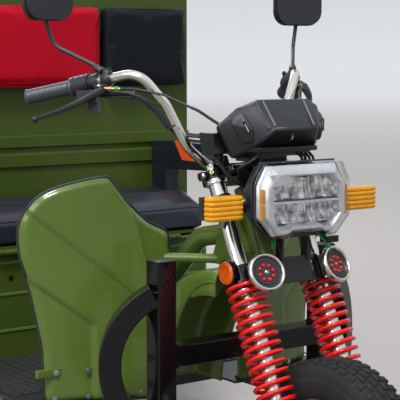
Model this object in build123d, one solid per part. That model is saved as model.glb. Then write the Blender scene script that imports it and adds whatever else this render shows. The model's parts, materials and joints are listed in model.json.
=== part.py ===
from build123d import *
from itertools import combinations
from math import atan2, cos, radians, sin, sqrt
import os

# Electric cargo tricycle, millimetres. +X is the vehicle's left, -Y its front, +Z up.
# The origin is on the floor, at the middle of the whole vehicle's footprint.
# "back" is the distance behind the vertical line through the lower fork clamp's front.

# Whole vehicle
WHEELBASE = 2150
REAR_TRACK = 900
FIT = 0.25
SPIN_GAP = 0.4

# Steering geometry
RAKE = 25.8
STEM_OFFSET = 32
STEER_BACK = 57
STEER_Z = 672
FORK_HALF = 104

# Wheels
TYRE_RADIUS = 250
TYRE_WIDTH = 98
TYRE_SHOULDER = 15
TYRE_BULGE = 58
BEAD_RADIUS = 152
RIM_WALL = 5
RIM_FLANGE = 13
RIM_WIDTH = 84
RIM_LIP = 4
RIM_FLARE = 3
HUB_RADIUS = 52
HUB_HALF = 50
WEB_THICK = 9
WEB_HOLES = 6
WEB_HOLE_RADIUS = 19
AXLE_RADIUS = 9

# Fork
TUBE_RADIUS = 19.5
ROD_RADIUS = 17.5
CLAMP_BAND = 24
LOWER_CLAMP = (-44, -6)
UPPER_CLAMP = (199, 217)
STEM_RADIUS = 15
SEAT_THICK = 3
SEAT_RADIUS = 42
COLLAR_RADIUS = 22
COLLAR_TALL = 12
SPRING_RADIUS = 39.25
SPRING_WIRE = 4.75
SPRING_PITCH = 20.5
SPRING_TALL = 302
SLIDER_RADIUS = 27
LUG_RADIUS = 31
LUG_HALF = 29

# Lamps at the front
RING_X = 97
RING_Y = -101.6
RING_S = -45
RING_RADIUS = 43
RING_DEEP = 16
RING_SPLAY = 10
RING_FACE = 31
RING_RECESS = 7
DOT_RADIUS = 4.2
DOT_CIRCLE = 16.5
PLATE_Y = -95
PLATE_HALF = 66
PLATE_S = (-70, -12)
PLATE_THICK = 4
PLATE_ARM_X = 36
REFLECTOR_X = 151
REFLECTOR_BACK = 19
REFLECTOR_Z = 671
REFLECTOR_RADIUS = 28.5
REFLECTOR_THICK = 12.7
LAMP_BACK = -70
LAMP_HALF = 127
LAMP_Z = (745, 790, 872, 912)
LAMP_DEEP = 112
BEZEL_DEEP = 26
BEZEL_WALL = 9
LENS_THICK = 5
INDICATOR = (141, 239)
INDICATOR_BACK = -48
INDICATOR_DEEP = 28
INDICATOR_Z = (793, 847)
INDICATOR_CASE = 15
STALK_RADIUS = 12
STAY_BAND_TALL = 30
STAY_S = 128

# Handlebar
BAR_RADIUS = 11
GRIP_RADIUS = 16.5
GRIP_LONG = 120
HOUSING_RADIUS = 22
HOUSING_LONG = 40
LEVER_WIDE = 13
LEVER_THICK = 8
CABLE_RADIUS = 2.8
LOOM_RADIUS = 5

# Frame
HEAD_TUBE_RADIUS = 29
HEAD_TUBE = (8, 186)
DOWN_TUBE_RADIUS = 24
STAY_RADIUS = 11
STAY_Z = 667
RAIL_WIDE = 50
LOWER_RAIL_X = 232
LOWER_RAIL_TALL = 40
RAIL_X = 300
RAIL_Z = (450, 530)
BEARER_TALL = 50
BEARER_WIDE = 40
BEARERS = 6
UPRIGHT_BACK = (872, 922)

# Crash bar
POST_SQUARE = 50
POST_TOP = 692
POST_BACK = 118
CROSS_Z = (451, 501)
ARC_RADIUS = 200
ARC_Z = 459
ARC_INSET = 81
ARC_SWEEP = 30

# Mudguard, shields and footwell
GUARD_HALF = 88
GUARD_RADIUS = 325
GUARD_CENTRE = (140, 330)
GUARD_WALL = 3
GUARD_LEAD = 0.5
GUARD_CORNER = (131, 619)
SHIELD_WALL = 4
SHIELD_BACK = 300
SHIELD_INNER = 101
SHIELD_OUTER = (448, 395)
SHIELD_CORNER = 14
FLOOR_TOP = 340
FLOOR_WALL = 6
FLOOR_HALF = 440
FLOOR_FRONT = 296

# Seat
SEAT_FRONT = 850
SEAT_BOX_HALF = 400
SEAT_BOX_TOP = 626
SEAT_BOX_WALL = 4
BATTERY_TALL = 60
CUSHION = (830, 1128)
CUSHION_HALF = 396
PAN_Z = (632, 640)
CUSHION_TOP = 745
CUSHION_FRONT_TOP = 714
SEAT_HINGE = (829, 627)
PIN_RADIUS = 4
KNUCKLE_RADIUS = 8
ARMREST_RISE = 141

# Load box
BOX_FRONT = 1162
BOX_LONG = 1480
BOX_HALF = 550
BOX_TOP = 910
BOX_WALL = 30
BOX_SHEET = 4
HEADBOARD_TOP = 1330
FRAME_DEEP = 26
FRAME_TALL = 40
PAD_Z = (1050, 1296)
PAD_THICK = 56
PAD_SPLIT = 214
PAD_HALF = 538
GATE_THICK = 22
GATE_RISE = 321
HINGE_DROP = 8
HINGE_OUT = 6
GATE_GAP = 4

# Rear end
SPRING_WIDE = 50
LEAF_THICK = 8
AXLE_TUBE_RADIUS = 30
MOTOR_RADIUS = 82
REAR_GUARD_GAP = 27
REAR_GUARD_HALF = 62

# Derived places
RAKE_SIN = sin(radians(RAKE))
RAKE_COS = cos(radians(RAKE))
FORK_FOOT = (TYRE_RADIUS - STEER_Z - STEM_OFFSET * RAKE_SIN) / RAKE_COS
AXLE_BACK = STEER_BACK + FORK_FOOT * RAKE_SIN - STEM_OFFSET * RAKE_COS
BOX_REAR = BOX_FRONT + BOX_LONG
FLOOR_Z = RAIL_Z[1] + BEARER_TALL
HINGE_BACK = BOX_REAR + GATE_GAP + GATE_THICK + HINGE_OUT
GATE_HINGE_Z = FLOOR_Z + HINGE_DROP
REAR_BACK = AXLE_BACK + WHEELBASE
KNUCKLE_OUT = HINGE_BACK + KNUCKLE_RADIUS + 1
ORIGIN_BACK = (AXLE_BACK - TYRE_RADIUS + KNUCKLE_OUT) / 2


def at(x, back, z):
    """A point given by its distance behind the fork clamp."""
    return Vector(x, back - ORIGIN_BACK, z)


def block(x, back, z):
    """A box between two values along each axis."""
    size = (x[1] - x[0], back[1] - back[0], z[1] - z[0])
    low = at(x[0], back[0], z[0])
    return Pos(low.X, low.Y, low.Z) * Box(*size, align=(Align.MIN, Align.MIN, Align.MIN))


def rod(start, end, radius):
    """A round bar between two points."""
    start, end = Vector(start), Vector(end)
    way = end - start
    plane = Plane(origin=start, z_dir=way.normalized())
    return plane * Cylinder(radius, way.length, align=(Align.CENTER, Align.CENTER, Align.MIN))


def tube_along(points, radii, section_radius):
    """A round bar that follows runs joined by arcs."""
    path = FilletPolyline(*points, radius=radii)
    section = Plane(origin=path @ 0, z_dir=path % 0) * Circle(section_radius)
    return sweep(section, path=path)


def mirrored(shape):
    """The same piece on the vehicle's other side."""
    return mirror(shape, about=Plane.YZ)


def pair(shape):
    """Both sides as one node of two solids."""
    return Compound(children=[shape.solid(), mirrored(shape).solid()])


def side_profile(points, half_width, middle=0):
    """A prism across the vehicle from an outline of back and height."""
    plane = Plane(origin=at(middle, 0, 0), x_dir=(0, 1, 0), z_dir=(1, 0, 0))
    return extrude(plane * make_face(Polyline(*points, close=True)), amount=half_width, both=True)


def convex_solid(corners):
    """A solid with flat faces stretched around its corners."""
    points = [Vector(*corner) for corner in corners]
    middle = sum(points, Vector(0, 0, 0)) / len(points)
    outlines = {}
    for a, b, c in combinations(points, 3):
        normal = (b - a).cross(c - a)
        if normal.length < 1e-6:
            continue
        normal = normal.normalized()
        if normal.dot(a - middle) < 0:
            normal = -normal
        rises = [(point - a).dot(normal) for point in points]
        if max(rises) > 0.01:
            continue
        on_face = [index for index, rise in enumerate(rises) if rise > -0.01]
        outlines[tuple(on_face)] = normal
    faces = []
    for on_face, normal in outlines.items():
        flat = [points[index] for index in on_face]
        centre = sum(flat, Vector(0, 0, 0)) / len(flat)
        across = (flat[0] - centre).normalized()
        up = normal.cross(across)
        flat.sort(key=lambda p: atan2((p - centre).dot(up), (p - centre).dot(across)))
        faces.append(Face(Wire.make_polygon(flat, close=True)))
    return Solid(Shell(faces))


STEER_ORIGIN = at(0, STEER_BACK, STEER_Z)
STEER = Plane(origin=STEER_ORIGIN, x_dir=(1, 0, 0), z_dir=(0, RAKE_SIN, RAKE_COS))


def upright(x, y, low, high, radius):
    """A cylinder along the steering axis, in the steering frame."""
    cylinder = Cylinder(radius, high - low, align=(Align.CENTER, Align.CENTER, Align.MIN))
    return Pos(x, y, low) * cylinder


def steer_block(x, y, s):
    """A box in the steering frame."""
    box = Box(x[1] - x[0], y[1] - y[0], s[1] - s[0], align=(Align.MIN, Align.MIN, Align.MIN))
    return Pos(x[0], y[0], s[0]) * box


def steer_point(x, y, s):
    """A point of the steering frame in the vehicle's frame."""
    return STEER.from_local_coords(Vector(x, y, s))


def revolved(points, centre):
    """A ring about the X axis from an outline of x and radius."""
    outline = make_face(Polyline(*[(x, 0, radius) for x, radius in points], close=True))
    return Pos(*centre) * revolve(outline, axis=Axis.X)


# Handlebar route, from the middle to the end of the grip
BAR_Y = 19
BAR_S = 250
BAR_MIDDLE = steer_point(0, BAR_Y, BAR_S)
BAR_BEND = [(75, 183, BAR_MIDDLE.Z), (138, 178, 935), (176, 205, 1030), (228, 238, 1103)]
BAR_END = (380, 470, 1045)
BAR_END_POINT = at(*BAR_END)
GRIP_WAY = (at(*BAR_END) - at(*BAR_BEND[-1])).normalized()


def along_grip(distance):
    """A point on the bar's grip end, measured from its tip."""
    return BAR_END_POINT - GRIP_WAY * distance


def fork_clamps():
    """Stem, lower and upper clamps and the bar risers, in one casting."""
    leg = -STEM_OFFSET
    body = upright(0, 0, LOWER_CLAMP[0], UPPER_CLAMP[1], STEM_RADIUS)
    body += steer_block((-FORK_HALF, FORK_HALF), (leg - 16, 22), (LOWER_CLAMP[0] + 6, LOWER_CLAMP[1] - 4))
    body += steer_block((-FORK_HALF, FORK_HALF), (leg - 16, 20), UPPER_CLAMP)
    for x in (-FORK_HALF, FORK_HALF):
        body += upright(x, leg, LOWER_CLAMP[0], LOWER_CLAMP[1], CLAMP_BAND)
        body += upright(x, leg, LOWER_CLAMP[0] - SEAT_THICK, LOWER_CLAMP[0], SEAT_RADIUS)
    pad = REFLECTOR_X - REFLECTOR_THICK - FIT
    body += steer_block((-pad, pad), (leg - 10, leg + 10), (LOWER_CLAMP[0] + 8, LOWER_CLAMP[1] - 8))
    beside = pad
    for side in (-1, 1):
        body -= steer_block((min(side * beside, side * 200), max(side * beside, side * 200)), (-200, 100),
                            (LOWER_CLAMP[0] - 10, LOWER_CLAMP[1] + 10))
    for x in (-FORK_HALF, FORK_HALF):
        body += upright(x, leg, UPPER_CLAMP[0], UPPER_CLAMP[1], CLAMP_BAND + 3)
    for x in (-42, 42):
        body += steer_block((x - 14, x + 14), (BAR_Y - 18, BAR_Y + 18), (UPPER_CLAMP[1], BAR_S + 18))
    bar = Pos(0, BAR_Y, BAR_S) * Rot(0, 90, 0) * Cylinder(BAR_RADIUS + FIT, 200)
    body -= bar
    for x in (-FORK_HALF, FORK_HALF):
        body -= upright(x, leg, LOWER_CLAMP[0] - 20, UPPER_CLAMP[1] + 1, TUBE_RADIUS + FIT)
    return body.moved(STEER.location)


def fork_leg():
    """Chrome tube, collar and damper rod of one side."""
    leg = -STEM_OFFSET
    seat = LOWER_CLAMP[0] - SEAT_THICK
    body = upright(FORK_HALF, leg, seat, UPPER_CLAMP[1] + 4, TUBE_RADIUS)
    body += upright(FORK_HALF, leg, seat - COLLAR_TALL, seat, COLLAR_RADIUS)
    body += upright(FORK_HALF, leg, seat - SPRING_TALL, seat, ROD_RADIUS)
    cap = extrude(RegularPolygon(15, 6), amount=9)
    body += Pos(FORK_HALF, leg, UPPER_CLAMP[1] + 4) * cap
    return body.moved(STEER.location)


def fork_spring():
    """One open coil spring."""
    seat = LOWER_CLAMP[0] - SEAT_THICK
    rise = SPRING_TALL - 2 * SPRING_WIRE - 2 * FIT
    path = Helix(pitch=SPRING_PITCH, height=rise, radius=SPRING_RADIUS)
    section = Plane(origin=path @ 0, z_dir=path % 0) * Circle(SPRING_WIRE)
    coil = sweep(section, path=path, is_frenet=True)
    foot = seat - SPRING_TALL + SPRING_WIRE + FIT
    return (Pos(FORK_HALF, -STEM_OFFSET, foot) * Rot(0, 0, -90) * coil).moved(STEER.location)


def fork_slider():
    """Lower leg with the spring's seat and the axle lug."""
    leg = -STEM_OFFSET
    seat = LOWER_CLAMP[0] - SEAT_THICK - SPRING_TALL
    body = upright(FORK_HALF, leg, FORK_FOOT, seat, SLIDER_RADIUS)
    body += upright(FORK_HALF, leg, seat - 8, seat, SEAT_RADIUS)
    lug = Pos(FORK_HALF, leg, FORK_FOOT) * Rot(0, 90, 0) * Cylinder(LUG_RADIUS, 2 * LUG_HALF)
    body += lug
    bore = Pos(FORK_HALF, leg, FORK_FOOT) * Rot(0, 90, 0) * Cylinder(AXLE_RADIUS + FIT, 200)
    body -= bore
    return body.moved(STEER.location)


def front_axle():
    """Axle with spacers and nuts."""
    inner = HUB_HALF + SPIN_GAP
    near = FORK_HALF - LUG_HALF
    far = FORK_HALF + LUG_HALF
    outline = [(0, 0), (0, AXLE_RADIUS), (inner, AXLE_RADIUS), (inner, 15), (near, 15)]
    outline += [(near, AXLE_RADIUS), (far, AXLE_RADIUS), (far, 14), (far + 11, 14), (far + 11, 0)]
    half = make_face(Polyline(*[(x, 0, r) for x, r in outline], close=True))
    side = revolve(half, axis=Axis.X)
    whole = side + mirrored(side)
    place = at(0, AXLE_BACK, TYRE_RADIUS)
    return Pos(place.X, place.Y, place.Z) * whole


def tyre(centre):
    """A tyre with rounded shoulders and bead."""
    half = TYRE_WIDTH / 2
    inner = BEAD_RADIUS + FIT
    bead = RIM_WIDTH / 2 - RIM_LIP - FIT
    outline = [(-bead, inner), (-half, inner + TYRE_BULGE), (-half + TYRE_SHOULDER, TYRE_RADIUS)]
    right = [(-x, radius) for x, radius in reversed(outline)]
    return revolved(outline + right, centre)


def rim(centre, bore):
    """Pressed steel wheel: barrel, flanges, web with holes, and hub."""
    half = RIM_WIDTH / 2
    low = BEAD_RADIUS - RIM_WALL
    edge = half + RIM_FLARE
    lip = BEAD_RADIUS + RIM_FLANGE
    barrel = [(-half, low), (half, low), (edge, lip), (edge - RIM_LIP, lip), (half - RIM_LIP, BEAD_RADIUS)]
    barrel += [(-half + RIM_LIP, BEAD_RADIUS), (-edge + RIM_LIP, lip), (-edge, lip)]
    body = revolved(barrel, (0, 0, 0))
    web = WEB_THICK / 2
    body += revolved([(-web, bore), (web, bore), (web, low + 1), (-web, low + 1)], (0, 0, 0))
    hub = HUB_HALF
    body += revolved([(-hub, bore), (hub, bore), (hub, HUB_RADIUS - 8), (hub - 8, HUB_RADIUS),
                      (-hub + 8, HUB_RADIUS), (-hub, HUB_RADIUS - 8)], (0, 0, 0))
    ring = (low + HUB_RADIUS) / 2
    for index in range(WEB_HOLES):
        angle = radians(360 / WEB_HOLES * index)
        hole = Pos(0, ring * cos(angle), ring * sin(angle)) * Rot(0, 90, 0)
        body -= hole * Cylinder(WEB_HOLE_RADIUS, 3 * WEB_THICK)
    return Pos(*centre) * body


def lamp_outline(inset=0):
    """The headlight's front outline as x and height, symmetric about the middle."""
    bottom, low, high, top = LAMP_Z
    middle = (low + high) / 2
    half = [(LAMP_HALF - 23, top), (LAMP_HALF, high), (LAMP_HALF, low), (LAMP_HALF - 41, bottom)]
    right = [(x - inset, z - inset if z > middle else z + inset) for x, z in half]
    return right + [(-x, z) for x, z in reversed(right)]


def lamp_prism(inset, start, end):
    """The headlight's outline pushed from one depth to another."""
    plane = Plane(origin=at(0, start, 0), x_dir=(1, 0, 0), z_dir=(0, -1, 0))
    outline = make_face(Polyline(*lamp_outline(inset), close=True))
    return extrude(plane * outline, amount=start - end)


def headlight_bezel():
    """Silver frame around the lens."""
    frame = lamp_prism(0, LAMP_BACK, LAMP_BACK + BEZEL_DEEP)
    return frame - lamp_prism(BEZEL_WALL, LAMP_BACK - 1, LAMP_BACK + BEZEL_DEEP + 1)


def headlight_lens():
    """Clear cover set in the frame."""
    return lamp_prism(BEZEL_WALL + FIT, LAMP_BACK + 2, LAMP_BACK + 2 + LENS_THICK)


def headlight_reflector():
    """Back plate of the lamp with four light bowls."""
    front = LAMP_BACK + 2 + LENS_THICK + 9
    plate = lamp_prism(BEZEL_WALL + FIT, front, LAMP_BACK + BEZEL_DEEP)
    for x in (-46, 46):
        for z in (LAMP_Z[1] + 6, LAMP_Z[2] - 10):
            place = at(x, front, z)
            plate -= Pos(place.X, place.Y, place.Z) * Rot(90, 0, 0) * Cylinder(24, 8)
    return plate


def headlight_shell():
    """Closed black bowl behind the frame."""
    front = LAMP_BACK + BEZEL_DEEP
    rear = LAMP_BACK + LAMP_DEEP
    corners = [at(x, front, z) for x, z in lamp_outline(1)]
    corners += [at(x, front + 34, z) for x, z in lamp_outline(10)]
    middle = sum(LAMP_Z) / 4
    corners += [at(x * 0.6, rear, middle + (z - middle) * 0.66) for x, z in lamp_outline(10)]
    return convex_solid([(p.X, p.Y, p.Z) for p in corners])


def ring_frame():
    """Place of the left round lamp's back, turned outwards, in the steering frame."""
    turn = radians(RING_SPLAY)
    plane = Plane(origin=(RING_X, RING_Y, RING_S), x_dir=(cos(turn), sin(turn), 0),
                  z_dir=(sin(turn), -cos(turn), 0))
    return plane.location


def ring_lamp():
    """Round lamp with a bright ring and small lights in a recessed dark face."""
    face = RING_DEEP - RING_RECESS
    outline = [(0, 0), (RING_RADIUS - 3, 0), (RING_RADIUS, 4), (RING_RADIUS, RING_DEEP - 4)]
    outline += [(RING_RADIUS - 4, RING_DEEP), (RING_FACE, RING_DEEP), (RING_FACE, face), (0, face)]
    lamp = revolve(make_face(Polyline(*[(r, 0, z) for r, z in outline], close=True)), axis=Axis.Z)
    for index in range(8):
        angle = radians(45 * index)
        lamp += Pos(DOT_CIRCLE * cos(angle), DOT_CIRCLE * sin(angle), face) * Cylinder(DOT_RADIUS, 3)
    lamp += Pos(0, 0, face) * Cylinder(DOT_RADIUS, 3)
    return lamp.moved(STEER.location * ring_frame())


def lamp_plate():
    """Plate between the round lamps, its ears, arms and the headlight's lower stays."""
    rear = PLATE_Y + PLATE_THICK
    clamp_front = -STEM_OFFSET - 16
    body = steer_block((-PLATE_HALF, PLATE_HALF), (PLATE_Y, rear), PLATE_S)
    ear = Pos(-RING_RADIUS * 0.62, 0, -PLATE_THICK / 2) * Box(RING_RADIUS * 0.6, 40, PLATE_THICK)
    root = RING_X - RING_RADIUS + 3
    ear = ear.moved(ring_frame()) + steer_block((root, root + 5), (RING_Y - 5, rear), (RING_S - 20, RING_S + 20))
    body += ear + mirrored(ear)
    for x in (-PLATE_ARM_X, PLATE_ARM_X):
        body += steer_block((x - 10, x + 10), (PLATE_Y, clamp_front), (LOWER_CLAMP[0] + 7, LOWER_CLAMP[1] - 5))
    body = body.moved(STEER.location)
    foot = steer_point(0, rear, PLATE_S[1] - 12)
    back = foot.Y + ORIGIN_BACK
    for x in (-PLATE_ARM_X, PLATE_ARM_X):
        body += block((x - 3, x + 3), (back - 4, back + 18), (foot.Z - 6, LAMP_Z[0] + 15)) - headlight_shell()
    return body


def lamp_stay():
    """Band on the fork tube with an arm to the headlight and the indicator."""
    leg = -STEM_OFFSET
    body = upright(FORK_HALF, leg, STAY_S, STAY_S + STAY_BAND_TALL, TUBE_RADIUS + 4)
    body -= upright(FORK_HALF, leg, STAY_S - 1, STAY_S + STAY_BAND_TALL + 1, TUBE_RADIUS + FIT)
    body = body.moved(STEER.location)
    middle = steer_point(FORK_HALF, leg, STAY_S + STAY_BAND_TALL / 2)
    back = middle.Y + ORIGIN_BACK
    arm = block((FORK_HALF - 4, FORK_HALF), (LAMP_BACK + 40, back - TUBE_RADIUS + 4), (800, 832))
    tube = upright(FORK_HALF, leg, STAY_S - 80, STAY_S + 120, TUBE_RADIUS + FIT)
    arm = arm - tube.moved(STEER.location) - headlight_shell()
    return body + arm.solids().sort_by(SortBy.VOLUME)[-1]


def side_reflector():
    """Round amber reflector facing sideways."""
    inner = REFLECTOR_X - REFLECTOR_THICK
    centre = at(0, REFLECTOR_BACK, REFLECTOR_Z)
    disc = [(inner, 0), (REFLECTOR_X, 0), (REFLECTOR_X, REFLECTOR_RADIUS - 4),
            (REFLECTOR_X - 4, REFLECTOR_RADIUS), (inner, REFLECTOR_RADIUS)]
    return revolved(disc, (centre.X, centre.Y, centre.Z))


def indicator():
    """Amber lens of a turn indicator."""
    front = INDICATOR_BACK
    rear = front + INDICATOR_DEEP
    low, high = INDICATOR_Z
    corners = []
    for back, trim in ((front, 7), (front + 9, 0), (rear, 0)):
        for x in (INDICATOR[0] + trim, INDICATOR[1] - trim):
            for z in (low + trim, high - trim):
                place = at(x, back, z)
                corners.append((place.X, place.Y, place.Z))
    return convex_solid(corners)


def indicator_back():
    """Black case of the indicator with its rubber stalk to the fork."""
    rear = INDICATOR_BACK + INDICATOR_DEEP
    low, high = INDICATOR_Z
    case = block((INDICATOR[0] + 3, INDICATOR[1] - 3), (rear, rear + INDICATOR_CASE), (low + 3, high - 3))
    root = steer_point(FORK_HALF, -STEM_OFFSET, STAY_S + 8)
    start = at(INDICATOR[0] + 16, rear + 2, (low + high) / 2)
    stalk = rod(start, root, STALK_RADIUS)
    sleeve = upright(FORK_HALF, -STEM_OFFSET, STAY_S - 60, STAY_S + 90, TUBE_RADIUS + 4 + FIT)
    stalk -= sleeve.moved(STEER.location)
    return case + stalk.solids().sort_by(Axis.Y)[0] - lamp_stay() - indicator()


def instrument_pod():
    """Angular instrument housing over the headlight."""
    half = [(60, -43, 982), (68, 7, 1046), (151, 50, 1000), (86, -6, 938), (110, 49, 915),
            (60, 120, 1052), (118, 112, 1020), (112, 128, 962), (80, 120, 925)]
    corners = []
    for x, back, z in half:
        for side in (-1, 1):
            place = at(side * x, back, z)
            corners.append((place.X, place.Y, place.Z))
    return convex_solid(corners)


def pod_stays():
    """Two straps that carry the instrument housing on the upper clamp."""
    straps = []
    for x in (-72, 72):
        low = steer_point(x, -10, UPPER_CLAMP[1])
        straps.append(rod(low, Vector(low.X, low.Y, 960), 8))
    return straps


def handlebar():
    """Chrome bar with two bends a side."""
    half = [at(*BAR_END)] + [at(*point) for point in reversed(BAR_BEND)]
    half[-1] = Vector(half[-1].X, BAR_MIDDLE.Y, BAR_MIDDLE.Z)
    other = [Vector(-point.X, point.Y, point.Z) for point in reversed(half)]
    radii = [55, 60, 60, 45]
    return tube_along(half + other, radii + radii[::-1], BAR_RADIUS)


def grip():
    """Rubber grip with a closed end."""
    tip = along_grip(-3)
    body = rod(along_grip(GRIP_LONG), tip, GRIP_RADIUS)
    body += rod(along_grip(GRIP_LONG), along_grip(GRIP_LONG - 6), GRIP_RADIUS + 5)
    body += rod(along_grip(3), tip, GRIP_RADIUS + 2)
    return body - rod(along_grip(GRIP_LONG + 1), BAR_END_POINT, BAR_RADIUS + FIT)


def switch_housing():
    """Switch block and lever perch on the bar."""
    near = GRIP_LONG + 1
    far = near + HOUSING_LONG
    body = rod(along_grip(far), along_grip(near), HOUSING_RADIUS)
    body += rod(along_grip(far + 22), along_grip(far), HOUSING_RADIUS - 5)
    pivot = along_grip(far + 10) + Vector(8, -34, -14)
    body += rod(along_grip(far + 10), pivot, 9)
    body -= rod(along_grip(far + 30), along_grip(near - 5), BAR_RADIUS + FIT)
    return body


def brake_lever():
    """Lever blade with a ball end, in front of and below the grip."""
    far = GRIP_LONG + 1 + HOUSING_LONG
    pivot = along_grip(far + 10) + Vector(8, -34, -14)
    start = pivot + (pivot - along_grip(far + 10)).normalized() * (LEVER_WIDE / 2 + FIT + 1.2)
    end = at(400, 403, 996)
    middle = start + (end - start) * 0.35 + Vector(4, -6, -8)
    path = FilletPolyline(start, middle, end, radius=[60])
    section = Plane(origin=path @ 0, z_dir=path % 0) * Ellipse(LEVER_WIDE / 2, LEVER_THICK / 2)
    blade = sweep(section, path=path)
    return blade + Pos(end.X, end.Y, end.Z) * Sphere(8)


def mirror_arm():
    """Stem and shell of one mirror."""
    foot = along_grip(GRIP_LONG + HOUSING_LONG + 45)
    way = Vector(0.55, 0.66, 0.51).normalized()
    knee = foot + way * 150
    top = knee + Vector(0.25, 0.12, 0.96) * 60
    arm = tube_along([foot + Vector(0, 0, BAR_RADIUS + 6), knee, top], [40], 5)
    clamp = rod(along_grip(GRIP_LONG + HOUSING_LONG + 56), along_grip(GRIP_LONG + HOUSING_LONG + 34), 17)
    clamp += rod(foot + Vector(0, 0, BAR_RADIUS + 1), foot + Vector(0, 0, BAR_RADIUS + 14), 9)
    clamp -= rod(along_grip(GRIP_LONG + HOUSING_LONG + 76), along_grip(GRIP_LONG), BAR_RADIUS + FIT)
    face = Plane(origin=top + Vector(0, 0, 52), x_dir=(1, 0, 0), z_dir=(0.18, 1, 0))
    shell = extrude(face * RectangleRounded(128, 104, 34), amount=-22)
    shell = shell + extrude(face * RectangleRounded(134, 110, 36), amount=-10)
    return clamp + arm + shell


def mirror_glass():
    """Glass in the mirror's rim."""
    foot = along_grip(GRIP_LONG + HOUSING_LONG + 45)
    top = foot + Vector(0.55, 0.66, 0.51).normalized() * 150 + Vector(0.25, 0.12, 0.96) * 60
    face = Plane(origin=top + Vector(0, 0, 52), x_dir=(1, 0, 0), z_dir=(0.18, 1, 0))
    return extrude(face * RectangleRounded(122, 98, 31), amount=2)


def head_frame():
    """Head tube, gusset and the down tube over the mudguard."""
    body = upright(0, 0, HEAD_TUBE[0], HEAD_TUBE[1], HEAD_TUBE_RADIUS).moved(STEER.location)
    body += side_profile([(84, 702), (150, 800), (205, 728), (226, 680), (226, 656), (200, 656)], 30)
    foot = FLOOR_TOP - FLOOR_WALL
    route = [at(0, 130, 740), at(0, 320, 706), at(0, 478, 560), at(0, 512, foot - 20)]
    body += tube_along(route, [110, 110], DOWN_TUBE_RADIUS)
    body -= block((-60, 60), (440, 600), (foot - 60, foot))
    for side in (-1, 1):
        body += rod(at(side * 20, 214, STAY_Z), at(side * 114, 308, STAY_Z), STAY_RADIUS)
        behind_shield = (min(side * 60, side * 200), max(side * 60, side * 200))
        body -= block(behind_shield, (SHIELD_BACK, SHIELD_BACK + 40), (STAY_Z - 30, STAY_Z + 30))
    body -= upright(0, 0, HEAD_TUBE[0] - 30, HEAD_TUBE[1] + 30, STEM_RADIUS + SPIN_GAP).moved(STEER.location)
    return body


def bearer_back(index):
    """Front and back of one cross bearer under the load floor."""
    step = (BOX_LONG - 50 - BEARER_WIDE) / (BEARERS - 1)
    front = BOX_FRONT + index * step
    return front, front + BEARER_WIDE


def chassis_frame():
    """Lower rails, uprights and cross members."""
    low = FLOOR_TOP - FLOOR_WALL - LOWER_RAIL_TALL
    rails_low = (low, low + LOWER_RAIL_TALL)
    body = block((-RAIL_X - 25, RAIL_X + 25), UPRIGHT_BACK, RAIL_Z)
    body += block((-FLOOR_HALF + 10, FLOOR_HALF - 10), (492, 532), rails_low)
    body += block((-FLOOR_HALF + 10, FLOOR_HALF - 10), (790, 830), rails_low)
    for side in (-1, 1):
        x = side * LOWER_RAIL_X
        wide = (x - RAIL_WIDE / 2, x + RAIL_WIDE / 2)
        body += block(wide, (POST_BACK + POST_SQUARE, UPRIGHT_BACK[1]), rails_low)
        body += block(wide, UPRIGHT_BACK, (low, RAIL_Z[1]))
    return body


def load_rail():
    """Left rail under the load floor."""
    wide = (RAIL_X - RAIL_WIDE / 2, RAIL_X + RAIL_WIDE / 2)
    return block(wide, (UPRIGHT_BACK[1], BOX_REAR - 50), RAIL_Z)


def floor_bearers():
    """Cross bearers between the load rails and the load floor."""
    bearers = [block((-BOX_HALF, BOX_HALF), bearer_back(index), (RAIL_Z[1], FLOOR_Z)) for index in range(BEARERS)]
    return Compound(children=[bearer.solid() for bearer in bearers])


def front_mudguard():
    """Deep arched mudguard behind the front wheel."""
    back, z = GUARD_CENTRE
    outer = GUARD_RADIUS
    arch = Line((back - GUARD_LEAD, z + outer), (back, z + outer)) + ThreePointArc(
        (back, z + outer), (back + outer * cos(radians(45)), z + outer * sin(radians(45))), (back + outer, z))
    skirt = Line((back + outer, z), (back + outer - 110, z))
    edge = ThreePointArc((back + outer - 110, z), (258, 515), GUARD_CORNER)
    front = Line(GUARD_CORNER, (back - GUARD_LEAD, z + outer))
    plane = Plane(origin=at(0, 0, 0), x_dir=(0, 1, 0), z_dir=(1, 0, 0))
    side = plane * make_face([arch, skirt, edge, front])
    whole = extrude(side, amount=GUARD_HALF, both=True)
    inner = outer - GUARD_WALL
    hollow = Line((back - 60, z + inner), (back, z + inner)) + ThreePointArc(
        (back, z + inner), (back + inner * cos(radians(45)), z + inner * sin(radians(45))), (back + inner, z))
    tail = Polyline((back + inner, z), (back + inner, z - 60), (back - 60, z - 60), (back - 60, z + inner))
    cut = extrude(plane * make_face([hollow, tail]), amount=GUARD_HALF - GUARD_WALL, both=True)
    return whole - cut


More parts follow.
